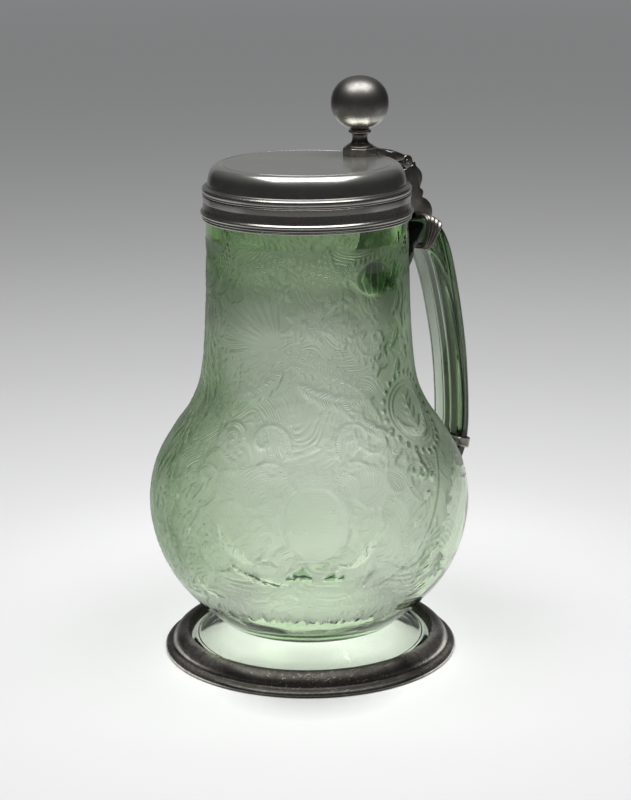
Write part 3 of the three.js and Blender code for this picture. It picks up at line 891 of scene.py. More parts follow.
def cartouche(e):
    """A plain upright oval with a double border, ears and a palmette."""
    at = CARTOUCHE_AT
    cells, x, y = e.window(at, 0, 22)
    bulge = bulging(x, y)
    e.paint(cells, smoothstep(1.2 - bulge, 0, 0.05), 0.32 * smoothstep(bulge, 0.9, 1.08), 1.0, 0.7,
            bulge * 11, np.arctan2(y, x) * 3)
    e.paint(cells, smoothstep(0.98 - bulge, 0, 0.03), 0.04, 0.9, 0.15, y / 1.1, x * 0.1)
    unit = closed_loop(1.0, 1.0, 49)
    for scale, size in ((1.0, 0.45), (1.16, 0.5)):
        e.cut(at, 0, unit * scale / bulging(*unit.T)[:, None], size, 0.3, taper=0.02)
    for side in (-1, 1):
        e.curl(moved(at, side * 14.0, 14), 5.6, 90 - side * 60, side)
        e.curl(moved(at, side * 13.5, -13.5), 4.8, 90 - side * 60, -side)
        for dy, turn, bend in ((17, 90 - side * 52, -0.3), (-15, -90 + side * 58, 0.3)):
            e.leaf(moved(at, side * 5, dy), turn, 13, 5.5, bend=bend * side, depth=0.25, lobes=3)
    for k in (-3, 3, -2, 2, -1, 1, 0):
        e.leaf(moved(at, k * 0.8, 14.5 - 0.3 * abs(k)), 90 - k * 21, 9.5 - 0.8 * abs(k), 3.4,
               depth=0.3, strokes=0.5)


def mantling(e, side):
    """Rolled acanthus scrolls on one side of the cartouche."""
    at = CARTOUCHE_AT
    for dx, dy, turn, size, hand in ((17, 4, 70, 22, 1), (15, -6, -62, 20, -1),
                                     (34, 14, 20, 20, 1), (34, -8, -30, 20, -1),
                                     (12, 26, 40, 17, 1), (50, 4, 80, 17, 1)):
        e.scroll(moved(at, side * dx, dy), 90 + side * (turn - 90), size, hand * side)
    for dx, dy, turn, length in ((18, 12, 8, 17), (20, 1, -6, 16), (19, -9, -24, 15),
                                 (30, 24, 30, 15)):
        e.leaf(moved(at, side * dx, dy), 90 + side * (turn - 90), length, 6.2, bend=-0.25 * side,
               lobes=3)
    for dx, dy, radius, hand in ((36, 14, 6.2, 1), (24, 13, 9.0, -1), (34, 1, 7.4, 1),
                                 (23, -4, 6.4, -1), (30, -11, 7.0, -1)):
        e.curl(moved(at, side * dx, dy), radius, 90 - side * 90 + 40 * hand, hand * side)


def side_palms(e):
    """Long curved leaves beside the scrolls, and long flat ones under them."""
    for k in range(8):
        for start, side, length, step, width in ((19, 1, 25, 1.2, 4.4), (-16, -1, 22, 1.0, 4.2)):
            e.leaf((start + side * 2.4 * k, 47 + 1.1 * k), 90 - side * (72 - 8 * k),
                   length + step * k, width, bend=side * 0.42, depth=0.24, lobes=2)
    for k in range(9):
        e.leaf((-48 + 11 * k, 42 + 2.2 * math.sin(k * 2.3)), 8 * math.sin(k * 1.7), 24, 3.6,
               bend=0.22 * (-1) ** k, depth=0.26)


def lower_border(e):
    """Swags of long strokes under the scrolls, small clear leaves between them, and grass."""
    for k in range(12):
        middle = -82 + 30 * k
        if 52 < middle % 360 < 98:
            continue
        for j in range(6):
            e.cut((middle, 52 - 1.5 * j), 6 * math.sin(k), arc(30, 3.2 + 0.9 * j), 0.6, 0.26,
                  taper=0.4)
        e.frond((middle + 15, 55), -90, [(0, 0), (6, 0.5), (12, 0)], 8, closeness=0.5)
    for alpha, turn in ((-8.5, 40), (-6, 60), (-3.5, 75), (-2, 95), (0.5, 120), (4.5, 35), (7, 50),
                        (9.5, 30)):
        e.leaf((alpha, 50.8), turn, 7.0, 3.0, depth=0.75, matte=0.0, strokes=0.0)
    r = np.random.default_rng(63)
    for at in scattered(r, 420, 29, 4.5, bunched=1):
        e.cut(at, 90 + r.uniform(-30, 30), [(-1.8, 0), (0, 0.2), (2.6, 0)], 0.6, 0.28, matte=1.0)


def side_streaks(e):
    """Long upright leaves and strokes round the left side of the belly and neck."""
    r = np.random.default_rng(64)
    for _ in range(240):
        at = (r.uniform(-96, -40), r.uniform(36, 150))
        size = r.uniform(6, 14)
        e.leaf(at, 90 + r.uniform(-24, 16) + 0.25 * (at[1] - 80), size, size * r.uniform(0.13, 0.2),
               bend=r.uniform(-0.25, 0.25), depth=r.uniform(0.25, 0.55), strokes=0.3)


def clear_patches(e):
    """Small polished spots and bands that let the far side show."""
    for at, size, squash in (((-47, 66), 1.6, 1.5), ((-50, 60), 1.2, 1.3), ((40, 70), 1.3, 1.5),
                             ((47, 80), 1.6, 1.6), ((-55, 78), 1.2, 1.6), ((52, 86), 1.5, 1.5)):
        e.disc(at, size, 0.3, matte=0.1, squash=squash, angle=35)
    for at, band, width in (
            ((-26.7, 63.5), [(-7.5, 8), (-4, 2.5), (0, -1.5), (4, -4.5), (7.5, -6)], 2.9),
            ((-16, 50), [(-14.5, 5.5), (-8, 2), (0, -0.5), (8, -1.5), (11, -1.5)], 1.7),
            ((-42, 41), [(-5, 5), (-2, 1), (3, -2), (7, -2.5)], 2.4),
            ((19, 61), [(-10.5, -3.5), (-5, -4), (0, 0), (4, 5.5), (8, 9), (12, 12)], 2.0)):
        e.cut(at, 0, catmull(band, np.linspace(0, 1, 17)), width, 0.05, matte=0.12, taper=0.7,
              polished=True)
    e.cut((39.5, 56.9), 0, [(25, 44), (17, 28), (8.7, 13), (0, 0), (-11.9, -8.3), (-29.2, -15.5)],
          0.42, 0.35, taper=0.2)


def back_side(e):
    """Flowers, scrolls and a second medallion on the side that faces away."""
    medallion(e, (178, 78), 24, crescent=False)
    each(e.flower, ((140, 50), -4, 40, 7, 81), ((216, 50), 4, 40, 7, 82),
         ((118, 60), 3, 34, 6, 83), ((150, 128), -3, 26, 6, 84), ((205, 128), 3, 26, 6, 85),
         ((-120, 128), 0, 28, 6, 86), ((100, 126), 2, 28, 6, 87), ((-85, 124), 2, 32, 6, 88))
    for k, alpha in enumerate((108, 130, 160, 196, 226, 250)):
        e.scroll((alpha, 102), 40 * k, 16, (-1) ** k)
    e.plume((178, 146), 90, 24, 120, depth=0.3, lobes=12, seed=9)
    e.rosette((178, 146), 8, petals=8)


def engrave():
    """All of the decoration; what comes later lies over what came before."""
    e = Engraving()
    for ornament in (ground, background_leaves, lower_border, shoulder_waves, back_side):
        ornament(e)
    each(e.flower, ((-66, 50), -3, 30, 6.5, 71), ((-52, 40), 2, 20, 5.0, 72),
         ((-62, 92), 3, 20, 5.5, 73), ((-84, 60), -2, 34, 6.5, 74), ((42, 44), 3, 18, 5.0, 75),
         ((-104, 84), 3, 26, 6.0, 76))
    side_streaks(e)
    side_palms(e)
    each(e.rosette, ((-51.6, 85.7), 5.6), ((-50, 75), 5.0), ((-54, 65), 5.2), ((-68, 78), 6.0),
         ((-34, 100), 5.0), petals=8)
    for side in (-1, 1):
        mantling(e, side)
    for ornament in (cartouche, neck_garland, neck_spray):
        ornament(e)
    medallion(e, (59, 109), 17)
    clear_patches(e)
    e.soften()
    return e


# Glass

NECK_WALL = 4.1
BELLY_WALL = 1.5
BASE_WALL = 2.2
WALL_Z = (14, 26, 42, 65, 85, 105, 125, 146, 163, 195)
WALLS = (BASE_WALL, 1.6, 1.5, BELLY_WALL, BELLY_WALL, 1.4, 1.4, 1.9, NECK_WALL, NECK_WALL)
THICK_SIDE = 2.3               # how much thicker the glass is where it bulges in at the sides
INSIDE_FLOOR_Z = 17.25
OUTER_WOBBLE, INNER_WOBBLE = 0.12, 0.16
INSIDE_ROWS = 90


def glass_body():
    e = engrave()
    wobble, inner_wobble = waves(9, 11, 2, 7), waves(9, 12, 2, 9)
    turn = from_front(azimuths)
    r0, z0 = vessel_curve[:, :1], vessel_curve[:, 1:]
    push = e.depth - OUTER_WOBBLE * wobble(azimuths, z0) * between(z0, (16, 30), (170, 184))
    outer = np.stack([r0 - push * vessel_out[:, :1], z0 - push * vessel_out[:, 1:]])
    inside = vessel_curve - vessel_out * np.interp(z0, WALL_Z, WALLS)
    inside = inside[(inside[:, 1] > 19.4) & (inside[:, 1] < RIM_Z - 1.2)]
    inside = even(inside, INSIDE_ROWS)[::-1]
    r, z = all_round(inside, COLUMNS)
    r = r + INNER_WOBBLE * inner_wobble(azimuths, z) * between(z, (20, 32), (176, 188))
    left = bell(turn, -62, 34) * smoothstep(z, 30, 60) * (1 - 0.75 * smoothstep(z, 112, 145))
    right = 0.8 * bell(turn, 60, 24) * between(z, (100, 120), (172, 188))
    inner = np.stack([r - THICK_SIDE * (left + right), z])
    rim = [(41.1, RIM_Z - 0.6), (40.7, RIM_Z - 0.15), (40.0, RIM_Z), (39.2, RIM_Z),
           (38.6, RIM_Z - 0.15), (38.25, RIM_Z - 0.5)]
    floor_rows = rounded([inside[-1], (35, 16.6), (28, 16.2), (14, 16.6), (1.5, 17.2)], cut=4,
                         steps=5)[1:]
    low = [(r, VESSEL_FLOOR_Z) for r in (1.5, 10, 20, 28, 33, 36.0)] + [(37.4, 14.3)]
    r, z = np.concatenate([all_round(low, COLUMNS), outer, all_round(rim, COLUMNS), inner,
                           all_round(floor_rows, COLUMNS)], axis=1)
    obj = skin("engraved_vessel", round_axis(azimuths, r, z), ENGRAVED_GLASS,
               ((AXIS_X, 0, VESSEL_FLOOR_Z), (AXIS_X, 0, INSIDE_FLOOR_Z)))
    # Painted shade: each cut is drawn darker on one side, more so away from the front and up the
    # neck, and not at all near the foot.
    painted_relief_shade = sum(np.roll(e.depth, shift, axis) * sign for shift, axis, sign in
              ((1, 1, 1), (-1, 1, -1), (-1, 0, 0.7), (1, 0, -0.7)))
    shade_strength = 0.9 + 4.5 * smoothstep(np.abs(turn), 28, 52) + 1.4 * smoothstep(z0, 95, 125)
    painted_relief_shade = np.clip(painted_relief_shade * shade_strength - 0.03, 0, 0.85) * e.matte * smoothstep(z0, 24, 34)
    # Painted shade: deep polished cuts take the darker tint too.
    polished = smoothstep(e.depth, 0.32, 0.5) * (1 - smoothstep(e.matte, 0.1, 0.3))
    relief = np.clip(e.depth * 2, 0, 1) + 6.4 * e.matte * (1 - smoothstep(z0, 30, 56))
    for name, values in (("matte", e.matte), ("phase", e.phase), ("along", e.along),
                         ("hatch", e.hatch), ("relief", relief),
                         ("tint_and_painted_shade", np.maximum(painted_relief_shade, polished))):
        whole = np.zeros(r.shape)
        whole[len(low):len(low) + ROWS] = values
        attribute(obj, name, np.append(whole, [0, 0]))
    obj.visible_shadow = False
    finish(obj, "vessel", ["glass_body"])


def slightly_uneven(size, seed, highest=4):
    wave = waves(4, seed, 2, highest)

    def shape(azimuth, r, z):
        return r + size * wave(azimuth, 0) * smoothstep(r, 0, 20), z
    return shape


def glass_foot():
    profile = rounded([
        (33.5, 14.45), (36.6, 14.4), (37.7, 13.3), (41.4, 10.8), (46, 7.8), (50.5, 5.3), (53, 4.5),
        (55.5, 4.2), (56.2, 3.9), (56.2, 3.4), (55, 3.0), (47.1, 3.4), (46.8, 4.0), (46.5, 3.5),
        (41, 7.3), (36, 10.9), (33.2, 13.8)], cut=2.5, steps=5, closed=True)
    obj = turned("foot_of_glass", profile, PLAIN_GLASS, 200, closed=True,
                 shape=slightly_uneven(0.15, 21))
    x, y, _ = places(obj).T
    # A slightly darker tint towards the foot's outer part.
    attribute(obj, "tint_and_painted_shade", smoothstep(np.hypot(x - AXIS_X, y), 36, 42))
    obj.visible_shadow = False
    finish(obj, "vessel", ["glass_foot"])


# Handle. Each station is a point (x from the vessel's axis, height), a thickness and a width.

HANDLE_STATIONS = np.array([
    (37, 166, 34, 22), (42.5, 169, 23, 21), (47, 172.2, 15, 20), (52, 173.7, 12.8, 19.4),
    (57, 173.4, 12.4, 19), (61.8, 170.9, 11.8, 19), (65.8, 165.6, 10.4, 19),
    (69.3, 157.3, 8.8, 19), (72.4, 146.7, 7.6, 19), (75.5, 133, 6.8, 19), (78, 119, 6.2, 19),
    (79.4, 106, 5.8, 19), (80.1, 94, 5.7, 19), (80, 84, 5.8, 19), (78.3, 75.5, 6.3, 19),
    (74.6, 69.5, 7, 19), (68.5, 66.6, 8.4, 19.4), (61, 66, 9.5, 20)])
RIB_COUNT = 4
RIB_HEIGHT = 0.3
RIB_DEPTH = 0.7
BAND_SIDES = 72


def strap_section(sides):
    """Points across and out on a squarish oval from -1 to 1, evenly spaced on a flat strap."""
    flatness = (2, 1)
    a = np.linspace(0, 2 * math.pi, 4001)
    loop = even(powered(np.stack([np.cos(a), np.sin(a)], axis=1), 0.42) * flatness, sides + 1)[:-1]
    return (loop / flatness).T[:, None]


def over_rib(across):
    """Runs from -1 to 1 over each rib."""
    return (across + 1) * RIB_COUNT / 2 % 1 * 2 - 1


def handle_grid(at, grow, sides, ribbed=False):
    """Points of the strap's sections at parameters at, enlarged all round by grow."""
    line = HANDLE_STATIONS[:, :2]
    centre = catmull(line, at)
    ahead = catmull(line, np.clip(at + 1e-4, 0, 1)) - catmull(line, np.clip(at - 1e-4, 0, 1))
    along = ahead / np.linalg.norm(ahead, axis=1)[:, None]
    station = at * (len(line) - 1)
    thick, wide = (np.interp(station, np.arange(len(line)), column)
                   for column in HANDLE_STATIONS.T[2:])
    c, d = strap_section(sides)
    y = c * (wide / 2 + grow)[:, None]
    out = d * (thick / 2 + grow)[:, None]
    if ribbed:
        strength = between(at, (0.2, 0.3), (0.86, 0.93))[:, None] * np.clip(d, 0, 1)
        out = out + (RIB_HEIGHT - RIB_DEPTH * np.abs(over_rib(c)) ** 4) * strength
    x = centre[:, :1] - along[:, 1:] * out
    z = centre[:, 1:] + along[:, :1] * out
    return np.stack([x + AXIS_X, y, z], axis=-1)


def painted_rib_shade(steps, sides):
    """Painted shade on the handle: dark on the ribs of the outer face with lighter grooves, on the
    edge towards -Y and in the thick root, and much less on the +Y side.
    """
    c, d = strap_section(sides)
    at = np.linspace(0, 1, steps)[:, None]
    groove = 0.4 - 0.25 * smoothstep(at, 0.42, 0.6)
    rib = (1 - groove * smoothstep(np.abs(over_rib(c)), 0.86, 0.97)) * smoothstep(d, 0.2, 0.6)
    near_edge = 0.92 * (1 - smoothstep(c, -0.96, -0.9)) * smoothstep(d, -0.95, -0.6)
    rib = np.maximum(rib, near_edge) * (1 - 0.8 * smoothstep(c, 0.42, 0.5))
    rib = rib * (0.965 + 0.035 * smoothstep(at, 0.35, 0.6))
    return np.maximum(rib, 0.94 * (1 - smoothstep(at, 0.24, 0.3)))


def glass_handle():
    sides, steps = 200, 260
    grid = handle_grid(np.linspace(0, 1, steps), 0, sides, ribbed=True)
    obj = skin("ribbed_handle", grid, HANDLE_GLASS, (grid[0].mean(0), grid[-1].mean(0)))
    attribute(obj, "tint_and_painted_shade", np.append(painted_rib_shade(steps, sides), [1, 0.5]))
    overlap = 0.25
    buried = vessel_curve - vessel_out * overlap
    cutter = turned("cutter", np.vstack([[0, VESSEL_FLOOR_Z], buried, [0, RIM_Z]]), None, 256)
    boolean(obj, cutter, "DIFFERENCE")
    crease(obj, 50)
    obj.visible_shadow = False
    finish(obj, "vessel", ["glass_handle"])


def band(name, node, start, end, inner, growth):
    """A band round the strap between two parameters. growth is how far it stands out along it."""
    at = np.linspace(start, end, len(growth))
    grow = np.append(growth, np.full(len(at), inner))
    obj = skin(name, handle_grid(np.append(at, at[::-1]), grow, BAND_SIDES), DARK_PEWTER, wrap=True)
    attribute(obj, "wear_and_painted_light", worn(obj))
    finish(obj, "vessel", [node])


def reeded_band():
    reeds = 4
    u = np.linspace(0, 1, 65)
    growth = 1.5 - 0.75 * np.abs(np.cos(u * math.pi * reeds)) ** 3
    band("reeded_band", "handle_band", 0.222, 0.293, 0.05, growth)


def lower_band():
    u = np.linspace(0, 1, 33)
    growth = 1.3 * np.minimum(1, 6 * np.minimum(u, 1 - u) + 0.4) - 0.15 * np.sin(u * math.pi)
    band("plain_band", "lower_handle_band", 0.795, 0.826, 0.3, growth)


# Pewter mounts

FOOT_RING_R = 62.2
LID_SEAT_Z = 195.2
LID_TOP_Z = 207.6
LID_WALL_R = 40.5
LID_WALL = 1.8
LID_SHOULDER_Z = 199
HINGE_X, HINGE_Z = 49.8, 203.6
KNUCKLE_R = 2.7
KNUCKLE_CLEARANCE = 0.4
LEAF_KNUCKLE_END = 2.2         # the leaf's knuckle lies between the bracket's two
BRACKET_KNUCKLE = (2.5, 5)     # where the bracket's knuckles begin and end
THUMB_X, THUMB_Y = 30.0, 2.5
PAD_TOP_Z = 210.8
PAD_CORNER_R = 7.4
BALL_Z, BALL_R, BALL_HALF_HEIGHT = 229.1, 11.95, 11.1
BALL_SQUARENESS = 0.94


def foot_ring():
    profile = rounded([
        (50.6, 4.9), (51.6, 6.6), (52.3, 8.3), (53.0, 8.7), (54.4, 8.5), (56.0, 7.6), (57.4, 6.3),
        (58.3, 4.9), (58.6, 3.9), (59.0, 3.1), (60.4, 2.6), (61.5, 2.1), (FOOT_RING_R, 1.1),
        (61.9, 0.3), (60.4, 0), (53.4, 0), (52.6, 0.6), (49.6, 1.9), (49.2, 2.3), (49.7, 2.6),
        (53.1, 1.6), (53.7, 1.2), (57.5, 1.2), (57.6, 3.4), (57.0, 5.0), (55.6, 6.3), (54.2, 6.5),
        (52.6, 4.9)], cut=0.9, steps=5, closed=True)
    wave = waves(5, 31, 2, 6)

    def bent(azimuth, r, z):
        lift = smoothstep(z, 0.4, 3)
        return r + 0.22 * wave(azimuth, 0) * lift, z + 0.12 * wave(azimuth + 1, 0) * lift

    obj = turned("foot_ring_mount", profile, RING_PEWTER, 240, closed=True, shape=bent)
    x, y, _ = places(obj).T
    turn = from_front(np.arctan2(y, x - AXIS_X))
    # Painted highlights at the ring's left and right as seen from the front, in its very light
    # rubbed colour, added to its wear; the whole ring is also shifted darker.
    rubbed_and_sheen = 0.72 * bell(turn, -58, 24) + 0.85 * bell(turn, 66, 22)
    attribute(obj, "wear_and_painted_light", 0.8 * worn(obj) - 0.32 + rubbed_and_sheen)
    finish(obj, "vessel", ["foot_ring"])


def putty_bed():
    profile = rounded([(53.8, 1.4), (57.1, 1.4), (57.2, 3.4), (56.8, 4.6), (56.5, 4.6),
                       (56.5, 3.8), (55.2, 2.8), (53.8, 2.7)], cut=0.4, steps=2, closed=True)
    obj = turned("putty_bed", profile, PUTTY, 160, closed=True, shape=slightly_uneven(0.1, 41, 12))
    finish(obj, "vessel", ["foot_ring_putty"])


def rim_collar():
    profile = rounded([
        (42.2, 185.2), (42.75, 185.35), (42.8, 186.0), (42.35, 186.25), (42.85, 186.45),
        (42.9, 186.95), (42.6, 187.25), (43.2, 187.5), (43.5, 187.9), (43.45, 188.5), (42.8, 189.1),
        (42.5, 190.2), (42.3, 192.6), (42.6, LID_SEAT_Z), (38.4, LID_SEAT_Z), (38.4, 194.5),
        (41.9, 194.5), (41.9, 185.2)], cut=0.22, steps=3, closed=True)
    obj = turned("rim_collar", profile, PEWTER, 240, closed=True)
    attribute(obj, "wear_and_painted_light", worn(obj))
    attribute(obj, "dull", 0.2)
    finish(obj, "vessel", ["lip_collar"])


def lid():
    edge = LID_SEAT_Z + 0.3
    under_top = LID_TOP_Z - LID_WALL
    under = [(0, under_top),
             *quarter((LID_WALL_R - LID_WALL, LID_SHOULDER_Z), (34, under_top), 8)[::-1],
             (38.6, edge)]
    rolled = [(42.3, edge), (42.5, 196), (42.2, 196.3), (42.6, 196.6), (42.7, 197.4),
              (42.55, 198.1), (42, 198.55), (41.1, 198.75)]
    shoulder = quarter((LID_WALL_R, LID_SHOULDER_Z), (35.6, LID_TOP_Z), 12)
    top = [(r, LID_TOP_Z - drop) for r, drop in ((35.15, 0.05), (34.85, 0.55), (34.55, 0.05),
                                                 (34.1, 0), (20, 0.1), (0, 0.15))]
    profile = rounded(under + rolled + shoulder + top, cut=0.3, steps=3)
    wave = waves(5, 51, 2, 5)

    def dented(azimuth, r, z):
        flat = smoothstep(z, 203, 206) * smoothstep(38 - r, 0, 6)
        return r, z + 0.1 * wave(azimuth, r * 1.5) * flat

    obj = turned("hollow_lid", profile, PEWTER, 240, shape=dented)
    attribute(obj, "wear_and_painted_light", worn(obj))
    attribute(obj, "dull", smoothstep(places(obj)[:, 2], 203, LID_TOP_Z - 0.3) * 0.85 + 0.15)
    finish(obj, "lid", ["lid"])


def on_thumbpiece(name, profile, material, segments):
    return turned(name, profile, material, segments, centre=(AXIS_X + THUMB_X, THUMB_Y, 0))


def thumb_ball():
    a = np.linspace(-math.pi / 2, math.pi / 2, 49)
    around, up = (powered(v, BALL_SQUARENESS) for v in (np.cos(a), np.sin(a)))
    profile = np.stack([BALL_R * around, BALL_Z + BALL_HALF_HEIGHT * up], axis=1)
    profile[[0, -1], 0] = 0
    obj = on_thumbpiece("ball", profile, PEWTER, 96)
    high = places(obj)[:, 2] - BALL_Z
    # Painted reflection of the lid top: the ball's lower part is drawn light in the rubbed colour;
    # above it the ball is painted darker as shade.
    attribute(obj, "wear_and_painted_light", 0.8 * (1 - smoothstep(high, -8.0, -4.0)) - 0.2)
    finish(obj, "lid", ["thumbpiece_ball"])


def thumb_stem():
    foot = PAD_TOP_Z - 0.1
    profile = rounded([(0, foot), (5.9, foot), (5.75, 211.4), (4.9, 211.9), (3.7, 212.7),
                       (3.2, 213.8), (3.1, 215.0), (3.35, 216.1), (4.3, 216.6), (4.75, 217.0),
                       (4.75, 217.6), (4.2, 218.1), (3.3, 218.3), (2.9, 219.2), (0, 219.2)],
                      cut=0.5, steps=4)
    obj = on_thumbpiece("waisted_stem", profile, DARK_PEWTER, 72)
    attribute(obj, "wear_and_painted_light", worn(obj))
    finish(obj, "lid", ["thumbpiece_stem"])


def hinge_strap():
    """The leaf's strap, from under the pad down over the lid's edge to the hinge."""
    start, end, sides = 30, 47.8, 40
    x = np.linspace(start, end, 56)[:, None]
    top = np.interp(x, [30, 37.4, 42.2, 43, 48.2], [210.4, 210.1, 208.6, 208.9, 206.9])
    bottom = np.interp(x, [30, 34, 36, 37.5, 39, 40.3, 41.2, 44, 47],
                       [207.5, 207.5, 207.3, 206.6, 205.2, 203.3, 202.2, 203.6, 203.9])
    left = np.interp(x, [30, 37, 40, 42, 43], [-2, -2, -2.6, -4, -5])
    right = np.interp(x, [30, 37, 40, 42, 43], [5, 4.4, 3.8, 4.4, 5])
    a = np.arange(sides) * 2 * math.pi / sides
    c, d = powered(np.cos(a), 0.4), powered(np.sin(a), 0.4)
    y = (left + right) / 2 + c * (right - left) / 2
    z = (top + bottom) / 2 + d * (top - bottom) / 2 * (0.6 + 0.4 * smoothstep(end - x, -0.2, 0.5))
    grid = np.stack([np.repeat(x, sides, axis=1) + AXIS_X, y, z], axis=-1)
    return skin("hinge_leaf", grid, DARK_PEWTER, flat=True)


def hinge_pad():
    """The octagonal pad under the thumbpiece."""
    a = (np.arange(8) + 0.5) * math.pi / 4
    outline = rounded(PAD_CORNER_R * np.stack([np.cos(a), np.sin(a)], axis=1), cut=0.35, steps=2,
                      closed=True)
    rows = [np.insert(outline * size + (AXIS_X + THUMB_X, THUMB_Y), 2, PAD_TOP_Z - drop, axis=1)
            for size, drop in ((1, 3.3), (1, 0.7), (0.985, 0.35), (0.955, 0.08), (0.92, 0))]
    return skin("pad", np.stack(rows), DARK_PEWTER, flat=True)


def hinge_leaf():
    obj = hinge_strap()
    half = LEAF_KNUCKLE_END
    knuckle = barrel("knuckle", KNUCKLE_R, -half, half, 0.3, DARK_PEWTER)
    neck = plate("neck", [(44.5, 207), (47.4, 207.0), (49.6, 206.2), (49.8, 203.6), (47.6, 202.2),
                          (45, 203.7)], half, 0.25)
    for other in (hinge_pad(), knuckle, neck):
        boolean(obj, other, "UNION")
    over_top = LID_TOP_Z + 0.02
    lid_surface = [(0, 190), (42.7, 190), (42.85, 198.4), (LID_WALL_R + 0.1, 199.0),
                   *quarter((LID_WALL_R + 0.05, 199.1), (35.4, over_top), 12), (0, over_top)]
    boolean(obj, turned("cutter", lid_surface, None, 200), "DIFFERENCE")
    crease(obj, 40)
    attribute(obj, "wear_and_painted_light", worn(obj, -0.15))
    attribute(obj, "dull", -0.5)
    finish(obj, "lid", ["lid_hinge_leaf"])


WEB_OUTLINE = [
    (46.2, 199.6), (48.2, 200.5), (51.3, 201.6), (52.95, 201.8), (53.05, 203.6), (54.2, 203.4),
    (54.7, 201.3), (56.4, 200), (57.8, 198.3), (58.4, 196.3), (58, 193.9), (56.8, 191.7),
    (58.2, 191.2), (59, 190), (58.8, 188.4), (58.2, 187.7), (60.6, 186.7), (62.7, 184.8),
    (63.9, 182.3), (64.1, 179.6), (62, 176), (55, 176), (54.5, 181), (48.4, 184), (42, 186.2),
    (42, 190.6), (44.6, 193), (45, 196.4),
]


def bracket():
    outline = rounded(WEB_OUTLINE, cut=1.0, steps=4, closed=True)
    inner, outer = BRACKET_KNUCKLE
    obj = plate("scalloped_web", outline, outer, 0.7)
    for ends in ((-outer, -inner), (inner, outer)):
        boolean(obj, barrel("knuckle", KNUCKLE_R, *ends, 0.3, DARK_PEWTER), "UNION")
    slot = barrel("slot", KNUCKLE_R + KNUCKLE_CLEARANCE, -inner, inner, 0.02, None)
    boolean(obj, slot, "DIFFERENCE")
    root = handle_grid(np.linspace(0.08, 0.45, 60), 0.02, BAND_SIDES, ribbed=True)
    boolean(obj, skin("cutter", root, None, flat=True), "DIFFERENCE")
    crease(obj, 45)
    attribute(obj, "wear_and_painted_light", worn(obj, -0.1))
    finish(obj, "vessel", ["handle_bracket"])


def hinge_pin():
    head = [(1.0, 5.0), (0.9, 5.15), (0, 5.15)]
    profile = [(r, -y) for r, y in reversed(head)] + head
    obj = on_hinge("peened_pin", rounded(profile, cut=0.12, steps=2), DARK_PEWTER, segments=32)
    attribute(obj, "wear_and_painted_light", worn(obj))
    finish(obj, "vessel", ["hinge_pin"])


# Stage, in metres

CAMERA_DISTANCE = 0.8473       # from the vessel's axis, along the table
CAMERA_HEIGHT = 0.3348
CAMERA_PITCH = math.radians(14.997)
CAMERA_ROLL = math.radians(0.45)
AHEAD_X, AHEAD_Y = math.sin(VIEW_TURN), math.cos(VIEW_TURN)     # the way the camera looks


def towards_camera(distance, height=0.0):
    """A place between the vessel's axis and the camera, or behind the axis if negative."""
    return Vector((AXIS_X * MM - distance * AHEAD_X, -distance * AHEAD_Y, height))


def camera():
    data = bpy.data.cameras.new("camera")
    data.sensor_fit = "VERTICAL"
    data.sensor_height = 36
    data.lens = 94.5
    data.shift_x = 0.00875
    data.clip_end = 60
    obj = standing("camera", data)
    level = math.cos(CAMERA_PITCH)
    forward = Vector((AHEAD_X * level, AHEAD_Y * level, -math.sin(CAMERA_PITCH)))
    turn = forward.to_track_quat("-Z", "Y").to_matrix().to_4x4()
    place = Matrix.Translation(towards_camera(CAMERA_DISTANCE, CAMERA_HEIGHT))
    obj.matrix_world = place @ turn @ Matrix.Rotation(-CAMERA_ROLL, 4, "Z")
    bpy.context.scene.camera = obj


# The sheet's tone by distance in metres from its palest place, a painted falloff of light.
FLOOR_FALLOFF_TONES = ((0.0, 0.98), (0.10, 0.95), (0.12, 0.94), (0.143, 0.91), (0.19, 0.85), (0.243, 0.82),
               (0.44, 0.757), (0.84, 0.735), (1.74, 0.82), (4.0, 0.91))
FLOOR_MIDDLE = 0.06            # how far the palest place lies behind the object


def floor():
    """A pale sheet with a painted falloff of light: it darkens slowly away from the vessel.

    A painted shadow makes a crescent inside the front of the foot ring darker too, most of all in
    its middle.
    """
    s = new_shader("pale_floor")
    middle = (FLOOR_MIDDLE * AHEAD_X, FLOOR_MIDDLE * AHEAD_Y, 0.0)
    whole = FLOOR_FALLOFF_TONES[-1][0]
    ramp = s.node("ValToRGB", {"Fac": s.math("DIVIDE", s.distance(middle), whole, clamp=True)})
    stops = ramp.color_ramp.elements
    for i, (reach, tone) in enumerate(FLOOR_FALLOFF_TONES):
        stop = stops[0] if i == 0 else stops.new(reach / whole)
        stop.color = (tone, tone, tone * 0.997, 1)
    stops.remove(stops[-1])
    off_rear, off_axis, off_front = (s.distance(towards_camera(d)) for d in (-0.012, 0.0, 0.045))
    # Painted shadow of the glass foot: a crescent inside the front of the foot ring, darkest in its
    # middle.
    crescent = s.times(s.span(off_rear, 0.038, 0.048), s.span(off_axis, 0.061, 0.057))
    painted_shadow_factor = s.times(s.span(crescent, 0.0, 1.0, 1.0, 0.75),
                   s.span(off_front, 0.018, 0.040, 0.66, 1.0))
    tone = s.mix(painted_shadow_factor, (0.0, 0.0, 0.0), ramp.outputs["Color"])
    rows = [(r, 0) for r in (0, 400, 1500, 4000, 20000)]
    obj = turned("floor", rows, s.surface("BsdfDiffuse", {"Color": tone}), 96, centre=(0, 0, 0))


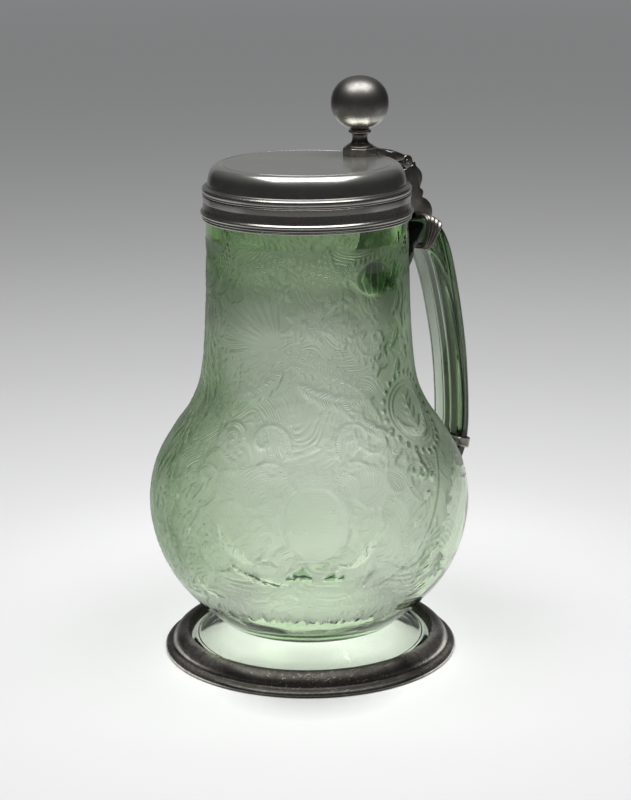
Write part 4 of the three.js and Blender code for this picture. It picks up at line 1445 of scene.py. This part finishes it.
def flag(name, inner, outer, low, high, spread, grey, through_glass=False):
    """A dark card round the camera's side, seen only in reflections and, if asked, through glass.

    It goes from a radius and height at its inner edge to those at its outer edge, in millimetres,
    and as many degrees as spread to both sides of the front.
    """
    steps = 24
    a = FRONT + np.radians(np.linspace(-spread, spread, steps))
    edges = [round_axis(a, r, np.full(steps, z)) for r, z in ((inner, low), (outer, high))]
    i = np.arange(steps - 1)
    quads = np.stack([i, i + 1, steps + i + 1, steps + i], axis=1)
    obj = mesh_object(name, np.vstack(edges), [quads], card(name, grey))
    obj.visible_camera = False
    obj.visible_diffuse = False
    obj.visible_transmission = through_glass
    obj.visible_volume_scatter = False
    obj.visible_shadow = False


def softbox():
    """A soft lamp straight above the front of the vessel."""
    data = bpy.data.lights.new("softbox", "AREA")
    data.shape = "RECTANGLE"
    data.size = 1.1
    data.size_y = 0.6
    data.energy = 11.2
    obj = standing("softbox", data)
    place = Matrix.Translation(towards_camera(0.11, 1.05))
    obj.matrix_world = place @ Matrix.Rotation(-VIEW_TURN, 4, "Z")


def world():
    """A grey room: even for what it lights, darker overhead where glass and metal show it."""
    s = Shader(bpy.data.worlds.new("studio"), "OutputWorld")
    path = s.node("LightPath").outputs
    direction = s.node("TexCoord").outputs["Generated"]
    up = s.node("SeparateXYZ", {0: direction}).outputs["Z"]
    ahead = s.vector("DOT_PRODUCT", direction, (AHEAD_X, AHEAD_Y, 0.0)).outputs["Value"]
    back_card = s.times(s.span(ahead, 0.3, 0.8, 0.0, 0.08), path["Is Glossy Ray"])
    shown = s.plus(back_card, s.span(up, 0.0, 0.35, 0.16, 0.05))
    strength = s.node("Mix", {"Factor": path["Is Diffuse Ray"], 2: shown, 3: 0.228}).outputs[0]
    bpy.context.scene.world = s.surface("Background", {"Color": (0.99, 1.0, 1.015),
                                                       "Strength": strength})


camera()
softbox()
world()
floor()
flag("front_card_near", 230, 800, 1.5, 1.5, 75, 0.30)
flag("front_card_far", 800, 1500, 1.5, 1.5, 135, 0.10)
flag("dark_room", 1400, 1400, 0, 1700, 118, 0.05, through_glass=True)
flag("dark_sides", 1500, 1500, 0, 1700, 150, 0.05)

glass_body()
glass_foot()
glass_handle()
foot_ring()
putty_bed()
rim_collar()
bracket()
reeded_band()
lower_band()
hinge_pin()
lid()
hinge_leaf()
thumb_stem()
thumb_ball()

bpy.context.scene.view_settings.view_transform = "Standard"
